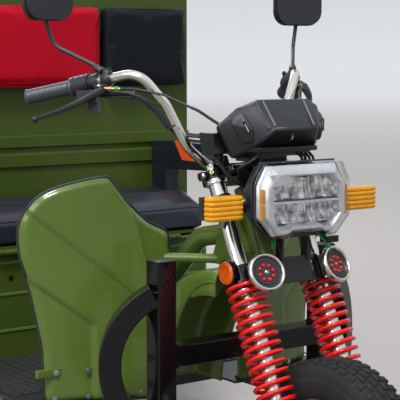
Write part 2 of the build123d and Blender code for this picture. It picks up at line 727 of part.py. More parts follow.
def leg_shield():
    """Pressed leg shield of the left side, swept back from its inner edge."""
    bend = SHIELD_INNER + 49
    plan = [(SHIELD_INNER, SHIELD_BACK), (bend, SHIELD_BACK), SHIELD_OUTER]
    way = Vector(SHIELD_OUTER[0] - bend, SHIELD_OUTER[1] - SHIELD_BACK, 0).normalized()
    rear = [(SHIELD_OUTER[0] - way.Y * SHIELD_WALL, SHIELD_OUTER[1] + way.X * SHIELD_WALL),
            (bend - 0.6, SHIELD_BACK + SHIELD_WALL), (SHIELD_INNER, SHIELD_BACK + SHIELD_WALL)]
    outline = [at(x, back, 0) for x, back in plan + rear]
    sheet = extrude(make_face(Polyline(*outline, close=True)), amount=1000)
    front = [(250, 862), (196, 798), (158, 754), (112, 728), (SHIELD_INNER, 700), (SHIELD_INNER, FLOOR_TOP)]
    front += [(388, FLOOR_TOP), (388, 471), (422, 621), (446, 720), (444, 780), (424, 810), (300, 858)]
    plane = Plane(origin=at(0, 200, 0), x_dir=(1, 0, 0), z_dir=(0, -1, 0))
    outline = make_face(Polyline(*front, close=True))
    eased = [corner for corner in outline.vertices() if corner.Y > FLOOR_TOP + 1]
    mask = extrude(plane * fillet(eased, SHIELD_CORNER), amount=-400)
    return sheet & mask


def crash_bar():
    """Posts, cross tube and the two swept rings of square tube."""
    low = FLOOR_TOP - FLOOR_WALL - LOWER_RAIL_TALL
    body = block((-LOWER_RAIL_X, LOWER_RAIL_X), (POST_BACK, POST_BACK + POST_SQUARE), CROSS_Z)
    for side in (-1, 1):
        x = side * LOWER_RAIL_X
        post = block((x - POST_SQUARE / 2, x + POST_SQUARE / 2), (POST_BACK, POST_BACK + POST_SQUARE),
                     (low, POST_TOP))
        out = Vector(side * cos(radians(ARC_SWEEP)), sin(radians(ARC_SWEEP)), 0)
        face = at(x + side * POST_SQUARE / 2, POST_BACK + POST_SQUARE / 2, ARC_Z)
        plane = Plane(origin=face - out * ARC_INSET, x_dir=out, z_dir=out.cross(Vector(0, 0, 1)))
        ring = extrude(plane * Circle(ARC_RADIUS), amount=POST_SQUARE / 2, both=True)
        ring -= extrude(plane * Circle(ARC_RADIUS - POST_SQUARE), amount=POST_SQUARE, both=True)
        inside = Pos(ARC_INSET - 12 - 300, 0, 0) * Box(600, 900, 4 * POST_SQUARE)
        ring -= inside.moved(plane.location)
        rail = x + side * RAIL_WIDE / 2
        behind = (POST_BACK + POST_SQUARE, POST_BACK + 3 * POST_SQUARE)
        ring -= block((min(0, rail), max(0, rail)), behind, (low - 60, POST_TOP))
        body += post + ring
    return body


def footboard():
    """Floor of the footwell, notched around the mudguard and the down tube."""
    notch = GUARD_HALF + FIT
    deep = GUARD_CENTRE[0] + GUARD_RADIUS + FIT
    outline = [(notch, FLOOR_FRONT), (150, FLOOR_FRONT), (FLOOR_HALF, 393), (FLOOR_HALF, SEAT_FRONT - 1)]
    outline += [(-x, back) for x, back in reversed(outline)]
    shape = extrude(make_face(Polyline(*[at(x, back, FLOOR_TOP) for x, back in outline], close=True)),
                    amount=-FLOOR_WALL)
    shape -= block((-notch, notch), (FLOOR_FRONT - 10, deep), (FLOOR_TOP - 20, FLOOR_TOP + 20))
    tube = DOWN_TUBE_RADIUS + 3
    return shape - block((-tube, tube), (deep - 1, 512 + tube), (FLOOR_TOP - 20, FLOOR_TOP + 20))


def brake_pedal():
    """Foot brake on a bracket of the footboard."""
    body = block((-190, -150), (600, 660), (FLOOR_TOP, FLOOR_TOP + 26))
    body += rod(at(-170, 620, FLOOR_TOP + 20), at(-170, 560, FLOOR_TOP + 92), 7)
    return body + block((-212, -128), (536, 568), (FLOOR_TOP + 82, FLOOR_TOP + 94))


def seat_box():
    """Sheet box under the seat, open at its top."""
    wall = SEAT_BOX_WALL
    half = SEAT_BOX_HALF
    rear = BOX_FRONT - 2
    body = block((-half, half), (SEAT_FRONT, rear), (RAIL_Z[1], SEAT_BOX_TOP))
    body -= block((-half + wall, half - wall), (SEAT_FRONT + wall, rear - wall), (RAIL_Z[1] + wall, 900))
    body += block((-half, half), (SEAT_FRONT, SEAT_FRONT + wall), (FLOOR_TOP - FLOOR_WALL, RAIL_Z[1] + wall))
    back, z = SEAT_HINGE
    for x in (-250, 250):
        for side in (-1, 1):
            middle = x + side * 32
            lug = (middle - 8, middle + 8)
            body += block(lug, (back, SEAT_FRONT + wall), (z - KNUCKLE_RADIUS, z - 1))
            body += rod(at(lug[0], back, z), at(lug[1], back, z), KNUCKLE_RADIUS)
        body += rod(at(x - 32, back, z), at(x + 32, back, z), PIN_RADIUS)
    return body


def battery_pack():
    """Battery under the seat."""
    low = RAIL_Z[1] + SEAT_BOX_WALL
    return block((-300, 300), (880, 1110), (low, low + BATTERY_TALL))


def seat_pan():
    """Seat lid with its hinge knuckles."""
    back, z = SEAT_HINGE
    front = back + 2 * KNUCKLE_RADIUS
    body = block((-CUSHION_HALF + 6, CUSHION_HALF - 6), (front, CUSHION[1] - 4), PAN_Z)
    for x in (-250, 250):
        body += block((x - 22, x + 22), (back, back + 40), (z, PAN_Z[0] + 1))
        body += rod(at(x - 22, back, z), at(x + 22, back, z), KNUCKLE_RADIUS)
    for x in (-250, 250):
        body -= rod(at(x - 60, back, z), at(x + 60, back, z), PIN_RADIUS + FIT)
    return body


def seat_cushion():
    """Bench cushion with a sloped front edge."""
    front, rear = CUSHION
    outline = [(front, PAN_Z[1] + 0.3), (rear, PAN_Z[1] + 0.3), (rear, CUSHION_TOP - 24)]
    outline += [(rear - 20, CUSHION_TOP), (front + 90, CUSHION_TOP), (front + 12, CUSHION_FRONT_TOP)]
    outline += [(front, CUSHION_FRONT_TOP - 14)]
    return side_profile(outline, CUSHION_HALF)


def armrest():
    """Side armrest of the left side with its support."""
    inner = SEAT_BOX_HALF + 6
    outer = inner + 46
    top = CUSHION_TOP + ARMREST_RISE
    foot = RAIL_Z[1] + 30
    post = BOX_FRONT - 82
    rear = BOX_FRONT - 10
    outline = [(SEAT_FRONT + 11, top - 80), (SEAT_FRONT + 30, top - 2), (post - 18, top), (rear, top - 6)]
    outline += [(rear, top - 46), (rear - 6, foot + 80), (rear - 6, foot), (post, foot), (post, foot + 80)]
    outline += [(post - 14, top - 86)]
    wide = (outer - inner) / 2
    body = side_profile(outline, wide, (inner + outer) / 2)
    return body + block((SEAT_BOX_HALF, inner + 1), (post + 4, rear - 12), (foot + 4, SEAT_BOX_TOP - 6))


def headboard():
    """Front wall of the load box with two pressed ribs and the backrest's frame."""
    wall = BOX_SHEET
    body = block((-BOX_HALF, BOX_HALF), (BOX_FRONT, BOX_FRONT + wall), (FLOOR_Z, HEADBOARD_TOP))
    for low, high in ((819, 857), (876, 910)):
        body += block((-BOX_HALF, BOX_HALF), (BOX_FRONT - 8, BOX_FRONT), (low, high))
    deep = (BOX_FRONT + wall, BOX_FRONT + FRAME_DEEP)
    body += block((-BOX_HALF, BOX_HALF), deep, (PAD_Z[0] - 50, PAD_Z[0] - 10))
    body += block((-BOX_HALF, BOX_HALF), deep, (HEADBOARD_TOP - FRAME_TALL, HEADBOARD_TOP))
    for side in (-1, 1):
        edge = (side * BOX_HALF, side * (BOX_HALF - 30))
        body += block((min(edge), max(edge)), deep, (BOX_TOP, HEADBOARD_TOP))
    return body


def backrest_pad(x):
    """One pad of the backrest."""
    return block(x, (BOX_FRONT - PAD_THICK, BOX_FRONT - 0.3), PAD_Z)


def backrest_pads():
    """Red middle pad and two black side pads."""
    pads = [backrest_pad((-PAD_SPLIT + 1, PAD_SPLIT - 1))]
    pads.append(backrest_pad((PAD_SPLIT + 1, PAD_HALF)))
    pads.append(backrest_pad((-PAD_HALF, -PAD_SPLIT - 1)))
    return Compound(children=[pad.solid() for pad in pads])


def cargo_floor():
    """Floor sheet, rear sill and the tailgate's hinge lugs."""
    half = BOX_HALF - BOX_WALL - FIT
    body = block((-half, half), (BOX_FRONT + BOX_SHEET + FIT, BOX_REAR), (FLOOR_Z, FLOOR_Z + BOX_SHEET))
    body += block((-BOX_HALF, BOX_HALF), (BOX_REAR - 50, BOX_REAR), (RAIL_Z[1], FLOOR_Z))
    for x in (-360, 0, 360):
        for side in (-1, 1):
            middle = x + side * 42
            lug = (middle - 12, middle + 12)
            body += block(lug, (BOX_REAR - 1, HINGE_BACK), (GATE_HINGE_Z - 30, GATE_HINGE_Z))
            body += rod(at(lug[0], HINGE_BACK, GATE_HINGE_Z), at(lug[1], HINGE_BACK, GATE_HINGE_Z),
                        KNUCKLE_RADIUS + 1)
        body += rod(at(x - 42, HINGE_BACK, GATE_HINGE_Z), at(x + 42, HINGE_BACK, GATE_HINGE_Z), PIN_RADIUS + 1)
    return body


def cargo_side():
    """Left wall of the load box: sheet, top rail, posts and a middle rib."""
    front = BOX_FRONT + BOX_SHEET
    inner = BOX_HALF - BOX_WALL
    low = FLOOR_Z
    body = block((inner, inner + BOX_SHEET), (front, BOX_REAR), (low, BOX_TOP))
    body += block((inner, BOX_HALF), (front, BOX_REAR), (BOX_TOP - 34, BOX_TOP))
    body += block((inner, BOX_HALF), (front, BOX_REAR), (low, low + 30))
    posts = 5
    step = (BOX_REAR - front - 40) / (posts - 1)
    for index in range(posts):
        back = front + index * step
        body += block((inner, BOX_HALF), (back, back + 40), (low, BOX_TOP))
    return body


def tailgate():
    """Tailgate with ribs, frame and hinge straps."""
    outer = HINGE_BACK - HINGE_OUT
    inner = outer - GATE_THICK
    low = GATE_HINGE_Z + HINGE_DROP
    high = GATE_HINGE_Z + GATE_RISE
    half = BOX_HALF - 5
    body = block((-half, half), (inner, inner + BOX_SHEET), (low, high))
    for z in ((low, low + 30), (high - 30, high), ((low + high) / 2 - 20, (low + high) / 2 + 20)):
        body += block((-half, half), (inner, outer), z)
    posts = 5
    step = (2 * half - 36) / (posts - 1)
    for index in range(posts):
        x = -half + index * step
        body += block((x, x + 36), (inner, outer), (low, high))
    for x in (-360, 0, 360):
        body += block((x - 28, x + 28), (outer - 1, HINGE_BACK), (GATE_HINGE_Z, low + 50))
        body += rod(at(x - 28, HINGE_BACK, GATE_HINGE_Z), at(x + 28, HINGE_BACK, GATE_HINGE_Z), KNUCKLE_RADIUS)
        body -= rod(at(x - 60, HINGE_BACK, GATE_HINGE_Z), at(x + 60, HINGE_BACK, GATE_HINGE_Z),
                    PIN_RADIUS + 1 + SPIN_GAP)
    return body


def rear_axle():
    """Axle tube with spindles, spring seats, final drive and motor."""
    half = REAR_TRACK / 2
    flange = half - HUB_HALF - 32
    centre = at(0, REAR_BACK, TYRE_RADIUS)
    outline = [(-flange, 0), (-flange, AXLE_TUBE_RADIUS), (flange, AXLE_TUBE_RADIUS), (flange, 0)]
    body = revolved(outline, (centre.X, centre.Y, centre.Z))
    for side in (-1, 1):
        ends = [(side * (flange - 1), 0), (side * (flange - 1), 15), (side * (half + HUB_HALF + SPIN_GAP), 15)]
        ends += [(side * (half + HUB_HALF + SPIN_GAP), 22), (side * (half + HUB_HALF + 14), 22)]
        ends += [(side * (half + HUB_HALF + 14), 0)]
        body += revolved(ends, (centre.X, centre.Y, centre.Z))
        x = side * RAIL_X
        body += block((x - 32, x + 32), (REAR_BACK - 45, REAR_BACK + 45), (TYRE_RADIUS, 296))
    body += revolved([(-75, 0), (-75, 84), (-50, 104), (50, 104), (75, 84), (75, 0)],
                     (centre.X, centre.Y, centre.Z))
    body += rod(at(0, REAR_BACK - 300, TYRE_RADIUS), at(0, REAR_BACK, TYRE_RADIUS), MOTOR_RADIUS)
    return body


def leaf_spring():
    """One pack of leaves."""
    plane = Plane(origin=at(RAIL_X, REAR_BACK, 0), x_dir=(0, 1, 0), z_dir=(1, 0, 0))
    body = None
    for index, reach in enumerate((450, 330, 220)):
        drop = 400 - 296 - 3 * LEAF_THICK
        span = 450
        radius = (span * span + drop * drop) / (2 * drop)
        low = 296 + (2 - index) * LEAF_THICK
        rise = radius - sqrt(radius * radius - reach * reach)
        top_radius = radius - LEAF_THICK
        top_rise = radius - sqrt(top_radius * top_radius - reach * reach)
        under = ThreePointArc((-reach, low + rise), (0, low), (reach, low + rise))
        over = ThreePointArc((-reach, low + top_rise), (0, low + LEAF_THICK), (reach, low + top_rise))
        ends = [Line(under @ 0, over @ 0), Line(under @ 1, over @ 1)]
        leaf = extrude(plane * make_face([under, over] + ends), amount=SPRING_WIDE / 2, both=True)
        body = leaf if body is None else body + leaf
    return body


def spring_hangers():
    """Hangers from the load rails to the ends of the leaf springs."""
    hangers = []
    for x in (-RAIL_X, RAIL_X):
        for reach in (-440, 440):
            middle = REAR_BACK + reach
            hanger = block((x - 22, x + 22), (middle - 20, middle + 20), (392, RAIL_Z[0]))
            leaves = leaf_spring() if x > 0 else mirrored(leaf_spring())
            hangers.append((hanger - leaves).solids().sort_by(Axis.Z)[-1])
    return Compound(children=hangers)


def rear_mudguard():
    """Arched mudguard over the left rear tyre."""
    centre = at(REAR_TRACK / 2, REAR_BACK, TYRE_RADIUS)
    inner = TYRE_RADIUS + REAR_GUARD_GAP
    half = REAR_GUARD_HALF
    outline = [(-half, inner - 20), (-half, inner + 2.7), (half, inner + 2.7), (half, inner - 20),
               (half - 3, inner - 20), (half - 3, inner), (-half + 3, inner), (-half + 3, inner - 20)]
    ring = revolved(outline, (centre.X, centre.Y, centre.Z))
    below = block((REAR_TRACK / 2 - 100, REAR_TRACK / 2 + 100), (REAR_BACK - 400, REAR_BACK + 400),
                  (-100, TYRE_RADIUS + 60))
    nearest = min(range(BEARERS), key=lambda index: abs(bearer_back(index)[0] - REAR_BACK))
    bearer = bearer_back(nearest)
    far = max(abs(bearer[0] - REAR_BACK), 1)
    low = TYRE_RADIUS + sqrt((inner + 1) ** 2 - far ** 2)
    tab = block((REAR_TRACK / 2 - 20, REAR_TRACK / 2 + 20), bearer, (low, RAIL_Z[1]))
    return ring - below + tab


def rear_bar():
    """Lamp bar across the frame's rear end."""
    rear = BOX_REAR - 50
    return block((-BOX_HALF + 20, BOX_HALF - 20), (rear, rear + 40), (RAIL_Z[0] - 10, RAIL_Z[1] - 10))


def tail_lamp():
    """Red and amber lamp of the left rear side."""
    rear = BOX_REAR - 10
    return block((400, 512), (rear, rear + 22), (RAIL_Z[0], RAIL_Z[1] - 18))


def number_plate():
    """Blank plate."""
    rear = BOX_REAR - 10
    return block((-110, 110), (rear, rear + 2), (RAIL_Z[0] - 70, RAIL_Z[1] - 16))


def control_cables():
    """Brake cables and wiring looms held along the bar and led into the housing."""
    brake = [(291, 296, 1067), (240, 232, 1066), (194, 186, 1053), (146, 120, 1018), (100, 84, 978)]
    loom = [(296, 342, 1062), (266, 304, 1054), (226, 262, 1056), (192, 238, 1030), (162, 216, 984),
            (128, 190, 962), (98, 118, 958)]
    carriers = [instrument_pod(), switch_housing(), brake_lever()]
    cables = []
    for points, radius in ((brake, CABLE_RADIUS), (loom, LOOM_RADIUS)):
        route = [at(*point) for point in points]
        cable = tube_along(route, [24] * (len(route) - 2), radius)
        for carrier in carriers:
            cable = cable - carrier
        cable = cable.solids().sort_by(SortBy.VOLUME)[-1]
        cables += [cable, mirrored(cable).solid()]
    return Compound(children=cables)


FRONT_CENTRE = at(0, AXLE_BACK, TYRE_RADIUS)
REAR_LEFT = at(REAR_TRACK / 2, REAR_BACK, TYRE_RADIUS)
REAR_RIGHT = at(-REAR_TRACK / 2, REAR_BACK, TYRE_RADIUS)
SPINDLE_BORE = 15 + SPIN_GAP


def place(point):
    """The three numbers of a point."""
    return (point.X, point.Y, point.Z)


def clamps_with_stays():
    """Clamps joined with the straps that carry the instrument housing."""
    body = fork_clamps()
    pod = instrument_pod()
    for strap in pod_stays():
        body += (strap - pod).solids().sort_by(Axis.Z)[0]
    return body


NODES = {
    "fork_clamps": clamps_with_stays(),
    "fork_legs": pair(fork_leg()),
    "fork_springs": pair(fork_spring()),
    "fork_sliders": pair(fork_slider()),
    "front_axle": front_axle(),
    "lamp_plate": lamp_plate(),
    "lamp_stays": pair(lamp_stay()),
    "ring_lamps": pair(ring_lamp()),
    "side_reflectors": pair(side_reflector()),
    "headlight_shell": headlight_shell(),
    "headlight_bezel": headlight_bezel(),
    "headlight_reflector": headlight_reflector(),
    "headlight_lens": headlight_lens(),
    "indicators": pair(indicator()),
    "indicator_backs": pair(indicator_back()),
    "instrument_pod": instrument_pod(),
    "handlebar": handlebar(),
    "grips": pair(grip()),
    "switch_housings": pair(switch_housing()),
    "brake_levers": pair(brake_lever()),
    "mirror_arms": pair(mirror_arm()),
    "mirror_glass": pair(mirror_glass()),
    "control_cables": control_cables(),
    "front_tyre": tyre(place(FRONT_CENTRE)),
    "front_rim": rim(place(FRONT_CENTRE), AXLE_RADIUS + SPIN_GAP),
    "rear_tyre_left": tyre(place(REAR_LEFT)),
    "rear_rim_left": rim(place(REAR_LEFT), SPINDLE_BORE),
    "rear_tyre_right": tyre(place(REAR_RIGHT)),
    "rear_rim_right": rim(place(REAR_RIGHT), SPINDLE_BORE),
    "head_frame": head_frame(),
    "chassis_frame": chassis_frame(),
    "load_rails": pair(load_rail()),
    "floor_bearers": floor_bearers(),
    "front_mudguard": front_mudguard(),
    "leg_shield_left": leg_shield(),
    "leg_shield_right": mirrored(leg_shield()),
    "crash_bar": crash_bar(),
    "footboard": footboard(),
    "brake_pedal": brake_pedal(),
    "seat_box": seat_box(),
    "battery_pack": battery_pack(),
    "seat_pan": seat_pan(),
    "seat_cushion": seat_cushion(),
    "armrests": pair(armrest()),
    "headboard": headboard(),
    "backrest_pads": backrest_pads(),
    "cargo_floor": cargo_floor(),
    "cargo_side_left": cargo_side(),
    "cargo_side_right": mirrored(cargo_side()),
    "tailgate": tailgate(),
    "rear_axle": rear_axle(),
    "leaf_springs": pair(leaf_spring()),
    "spring_hangers": spring_hangers(),
    "rear_mudguards": pair(rear_mudguard()),
    "rear_bar": rear_bar(),
    "tail_lamps": pair(tail_lamp()),
    "number_plate": number_plate(),
}

os.makedirs("parts", exist_ok=True)
for name, shape in NODES.items():
    export_step(shape, f"parts/{name}.step")
    print(name, len(shape.solids()), round(shape.volume / 1000, 1), "cm3")
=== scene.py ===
"""Finishes, lamps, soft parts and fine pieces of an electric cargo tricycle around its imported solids."""

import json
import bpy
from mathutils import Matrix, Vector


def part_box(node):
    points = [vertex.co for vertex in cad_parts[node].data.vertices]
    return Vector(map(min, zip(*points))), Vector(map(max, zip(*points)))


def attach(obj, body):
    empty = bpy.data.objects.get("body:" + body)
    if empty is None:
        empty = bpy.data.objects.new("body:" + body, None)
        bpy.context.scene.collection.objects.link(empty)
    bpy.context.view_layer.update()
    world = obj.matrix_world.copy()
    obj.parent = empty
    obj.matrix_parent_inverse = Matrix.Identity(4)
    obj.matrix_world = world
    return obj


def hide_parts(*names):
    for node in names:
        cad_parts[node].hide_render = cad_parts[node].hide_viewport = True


bl_info = {
    "name": "Electric Cargo Tricycle",
    "version": (1, 0, 0),
    "blender": (4, 5, 0),
    "location": "View3D > Sidebar > Tricycle",
    "description": "Dresses the tricycle's solids with finishes, lamps, soft parts and fine pieces",
    "category": "Object",
}

from math import cos, pi, radians, sin, sqrt

import bmesh
import bpy
from bpy.props import FloatProperty, FloatVectorProperty, PointerProperty
from bpy.types import Operator, Panel, PropertyGroup
from mathutils import Matrix, Vector
from mathutils.bvhtree import BVHTree

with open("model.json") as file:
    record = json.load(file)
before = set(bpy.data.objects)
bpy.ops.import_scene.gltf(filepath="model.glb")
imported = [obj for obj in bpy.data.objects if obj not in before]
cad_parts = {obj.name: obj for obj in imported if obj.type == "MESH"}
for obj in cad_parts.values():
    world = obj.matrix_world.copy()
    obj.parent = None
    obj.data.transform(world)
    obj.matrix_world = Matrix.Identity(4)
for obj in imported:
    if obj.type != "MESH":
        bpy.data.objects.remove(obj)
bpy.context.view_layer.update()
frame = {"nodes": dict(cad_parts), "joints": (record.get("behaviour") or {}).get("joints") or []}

# A millimetre in metres, and the distance below which points become one
MM = 0.001
MERGE = 1e-5

# The radius in millimetres that stands for the tip of a turned form
POINT = 1e-4

# Each finish's material and slot, by name
FINISHES = {}

# Places taken from the frame
JOINTS = {joint["name"]: joint for joint in frame["joints"]}
STEER_PIVOT = Vector(JOINTS["steering_turn"]["pos_m"])
STEER_AXIS = Vector(JOINTS["steering_turn"]["axis"]).normalized()
STEER_REAR = STEER_AXIS.cross(Vector((1, 0, 0)))
FRONT_HUB = Vector(JOINTS["front_wheel_spin"]["pos_m"])
REAR_HUBS = {side: Vector(JOINTS[f"rear_{side}_spin"]["pos_m"]) for side in ("left", "right")}

# How far the steering pivot and the origin lie behind the fork clamp, in millimetres
STEER_BACK = 57
ORIGIN_BACK = STEER_BACK - STEER_PIVOT.y / MM

# The photograph's camera: place in millimetres, angles in degrees and lens in millimetres
CAMERA_PLACE = (-1787.5, -2184.8, 1130.0)
CAMERA_YAW = 35.5
CAMERA_PITCH = 6.22
CAMERA_LENS = 115.6


# Places on the vehicle
def node_box(name):
    """Lowest and highest corner of a solid in millimetres across, behind the fork clamp and up."""
    low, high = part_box(name)
    shift = Vector((0, ORIGIN_BACK, 0))
    return low / MM + shift, high / MM + shift


def vehicle(x, back, z):
    """A place across the vehicle, behind the fork clamp and up, in millimetres."""
    return Vector((x, back - ORIGIN_BACK, z)) * MM


def steer(x, rear, rise):
    """A place in the steering frame: across, behind the axis and along it, in millimetres."""
    return STEER_PIVOT + (Vector((x, 0, 0)) + STEER_REAR * rear + STEER_AXIS * rise) * MM


def local(origin, across, out):
    """A place function with its own origin, x direction and z direction."""
    out = out.normalized()
    across = (across - out * across.dot(out)).normalized()
    up = out.cross(across)
    return lambda x, y, z: origin + (across * x + up * y + out * z) * MM


# Outlines and routes
def rounded(outline, radius, steps):
    """An outline with its corners eased by curves."""
    count = len(outline)
    eased = []
    for index, corner in enumerate(outline):
        here = Vector(corner)
        before = Vector(outline[index - 1]) - here
        after = Vector(outline[(index + 1) % count]) - here
        start = here + before.normalized() * min(radius, before.length * 0.48)
        end = here + after.normalized() * min(radius, after.length * 0.48)
        for step in range(steps + 1):
            t = step / steps
            eased.append(start * (1 - t) ** 2 + here * 2 * t * (1 - t) + end * t ** 2)
    return eased


def panel(x, y, radius, steps):
    """A rectangle with rounded corners between two values each way."""
    return rounded([(x[0], y[0]), (x[1], y[0]), (x[1], y[1]), (x[0], y[1])], radius, steps)


def square(width, corner, steps=3):
    """A square section with rounded corners."""
    half = width / 2
    return rounded([(half, half), (-half, half), (-half, -half), (half, -half)], corner, steps)


def circle(radius, sides=12):
    """A round section."""
    angles = [2 * pi * i / sides for i in range(sides)]
    return [(radius * cos(angle), radius * sin(angle)) for angle in angles]


def flowing(points, steps=8):
    """A smooth route through points."""
    points = [Vector(p) for p in points]
    ends = [points[0] * 2 - points[1]] + points + [points[-1] * 2 - points[-2]]
    route = []
    for a, b, c, d in zip(ends, ends[1:], ends[2:], ends[3:]):
        for step in range(steps):
            t = step / steps
            route.append(0.5 * (2 * b + (c - a) * t + (2 * a - 5 * b + 4 * c - d) * t * t
                                + (3 * b - a - 3 * c + d) * t ** 3))
    return route + [points[-1]]


def ease(value):
    """Zero to one, smoothly."""
    value = min(max(value, 0.0), 1.0)
    return value * value * (3 - 2 * value)


def edge_distance(point, outline):
    """How far a point lies from an outline."""
    nearest = 1e9
    for a, b in zip(outline, outline[1:] + outline[:1]):
        run = b - a
        t = min(max((point - a).dot(run) / max(run.length_squared, 1e-9), 0), 1)
        nearest = min(nearest, (point - a - run * t).length)
    return nearest


# Pieces
class Form:
    """The mesh of one piece while it is built, in millimetres of its own place."""

    def __init__(self, place=vehicle):
        self.mesh = bmesh.new()
        self.place = place
        self.side = 1

    def point(self, p):
        """A point of the mesh on the form's side of the vehicle."""
        return self.mesh.verts.new(self.place(self.side * p[0], p[1], p[2]))

    def loft(self, rings, closed=True, capped=True):
        """Skins rings that have as many points each, and caps both ends or the last one."""
        loops = [[self.point(p) for p in ring] for ring in rings]
        count = len(loops[0])
        for low, high in zip(loops, loops[1:]):
            for i in range(count if closed else count - 1):
                j = (i + 1) % count
                self.mesh.faces.new((low[i], low[j], high[j], high[i]))
        if capped is True:
            self.mesh.faces.new(loops[0][::-1])
        if capped:
            self.mesh.faces.new(loops[-1])

    def lathe(self, profile, centre=(0, 0, 0), axis=(0, 0, 1), segments=40):
        """Turns an outline of radius and height about an axis."""
        axis = Vector(axis).normalized()
        across = axis.orthogonal().normalized()
        up = axis.cross(across)
        spokes = [across * a + up * b for a, b in circle(1, segments)]
        rings = []
        for radius, height in profile:
            middle = Vector(centre) + axis * height
            rings.append([middle + spoke * max(radius, POINT) for spoke in spokes])
        self.loft(rings, capped=False)

    def sweep(self, route, section, up=(0, 0, 1), closed=False, scales=None):
        """Carries a section along a route without twist, scaled from place to place."""
        route = [Vector(p) for p in route]
        scales = scales or [1] * len(route)
        normal = Vector(up)
        rings = []
        last = len(route) - 1
        for i, here in enumerate(route):
            before = route[i - 1] if i or closed else here
            after = route[(i + 1) % len(route)] if i < last or closed else here
            way = (after - before).normalized()
            normal = (normal - way * normal.dot(way)).normalized()
            other = way.cross(normal)
            rings.append([here + (other * a + normal * b) * scales[i] for a, b in section])
        if closed:
            rings.append(rings[0])
        self.loft(rings, capped=not closed)

    def prism(self, outline, low, high, axis="z"):
        """A plate between two values along an axis, from an outline in the other two."""
        order = {"x": lambda a, b, level: (level, a, b), "y": lambda a, b, level: (a, level, b),
                 "z": lambda a, b, level: (a, b, level)}[axis]
        self.loft([[order(*p, level) for p in outline] for level in (low, high)])

    def block(self, x, y, z):
        """A box between two values along each axis."""
        self.prism([(x[0], y[0]), (x[1], y[0]), (x[1], y[1]), (x[0], y[1])], z[0], z[1])

    def rod(self, start, end, radius, tip=None, segments=20):
        """A straight round bar, tapered where the tip has its own radius."""
        way = Vector(end) - Vector(start)
        tip = radius if tip is None else tip
        self.lathe([(0, 0), (radius, 0), (tip, way.length), (0, way.length)], start, way, segments)

    def wire(self, points, radius, segments=8):
        """A bent cable through points."""
        self.sweep(flowing(points), circle(radius, segments))

    def bolt(self, spot, way, radius):
        """A hexagon head on its washer."""
        washer, edge, top = radius * 1.45, radius * 0.75, radius * 0.9
        self.lathe([(0, 0), (washer, 0), (washer, 1.2), (0, 1.2)], spot, way, 20)
        self.lathe([(0, 1.2), (radius, 1.2), (radius, edge), (radius * 0.86, top), (0, top)], spot, way, 6)

    def hull(self, corners):
        """Flat faces stretched around corners."""
        made = [self.point(p) for p in corners]
        bmesh.ops.convex_hull(self.mesh, input=made)
        verts, edges = self.mesh.verts, self.mesh.edges
        bmesh.ops.dissolve_limit(self.mesh, angle_limit=radians(1), verts=verts, edges=edges)


def both_sides(*forms):
    """Sets forms to the vehicle's right and then to its left."""
    for side in (-1, 1):
        for form in forms:
            form.side = side
        yield side


def add_object(name, data):
    """An object in the scene around its data."""
    made = bpy.data.objects.new(name, data)
    bpy.context.scene.collection.objects.link(made)
    return made


def shaped(form, name):
    """Turns a form into an object."""
    bmesh.ops.recalc_face_normals(form.mesh, faces=form.mesh.faces)
    mesh = bpy.data.meshes.new(name)
    form.mesh.to_mesh(mesh)
    form.mesh.free()
    return add_object(name, mesh)


def fitted(made, body, cover):
    """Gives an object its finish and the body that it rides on."""
    made.data.materials.append(FINISHES[cover][0])
    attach(made, body)
    return made


def piece(form, name, body, cover, bevel=0.0, sharp=40, thickness=0.0, steps=2):
    """Turns a form into a piece with rounded or sharp edges that rides on a body."""
    bmesh.ops.remove_doubles(form.mesh, verts=form.mesh.verts, dist=MERGE)
    made = shaped(form, name)
    made.data.shade_smooth()
    if thickness:
        solid = made.modifiers.new("Thickness", "SOLIDIFY")
        solid.thickness = abs(thickness) * MM
        solid.offset = 1 if thickness > 0 else -1
    if bevel:
        ease_edges(made, bevel, steps)
    else:
        made.data.set_sharp_from_angle(angle=radians(sharp))
    return fitted(made, body, cover)


def ease_edges(made, width, steps=2, angle=35):
    """Rounds the hard edges of an object."""
    bevel = made.modifiers.new("Edges", "BEVEL")
    bevel.width = width * MM
    bevel.segments = steps
    bevel.limit_method = "ANGLE"
    bevel.angle_limit = radians(angle)
    bevel.harden_normals = True


# Finishes: roughness of the clear coats, height of the grain in metres, and the box's share of the green,
# which darkens the shields' paint as painted shade
COAT_ROUGHNESS = 0.06
GRAIN_HEIGHT = 0.0006
BOX_SHADE_SHARE = 0.54


def new_material(name):
    """A material with its node tree and its shader."""
    material = bpy.data.materials.new(name)
    material.use_nodes = True
    return material, material.node_tree, material.node_tree.nodes["Principled BSDF"]


def add_node(tree, kind, inputs=None, **settings):
    """A shader node with its settings and the values of its inputs."""
    node = tree.nodes.new("ShaderNode" + kind)
    for name, value in settings.items():
        setattr(node, name, value)
    for name, value in (inputs or {}).items():
        node.inputs[name].default_value = value
    return node


def add_ramp(tree, factor, low, high):
    """A ramp between two places, each with its colour."""
    ramp = add_node(tree, "ValToRGB")
    for stop, (place, colour) in zip(ramp.color_ramp.elements, (low, high)):
        stop.position = place
        stop.color = (*colour, 1)
    tree.links.new(factor, ramp.inputs["Fac"])
    return ramp


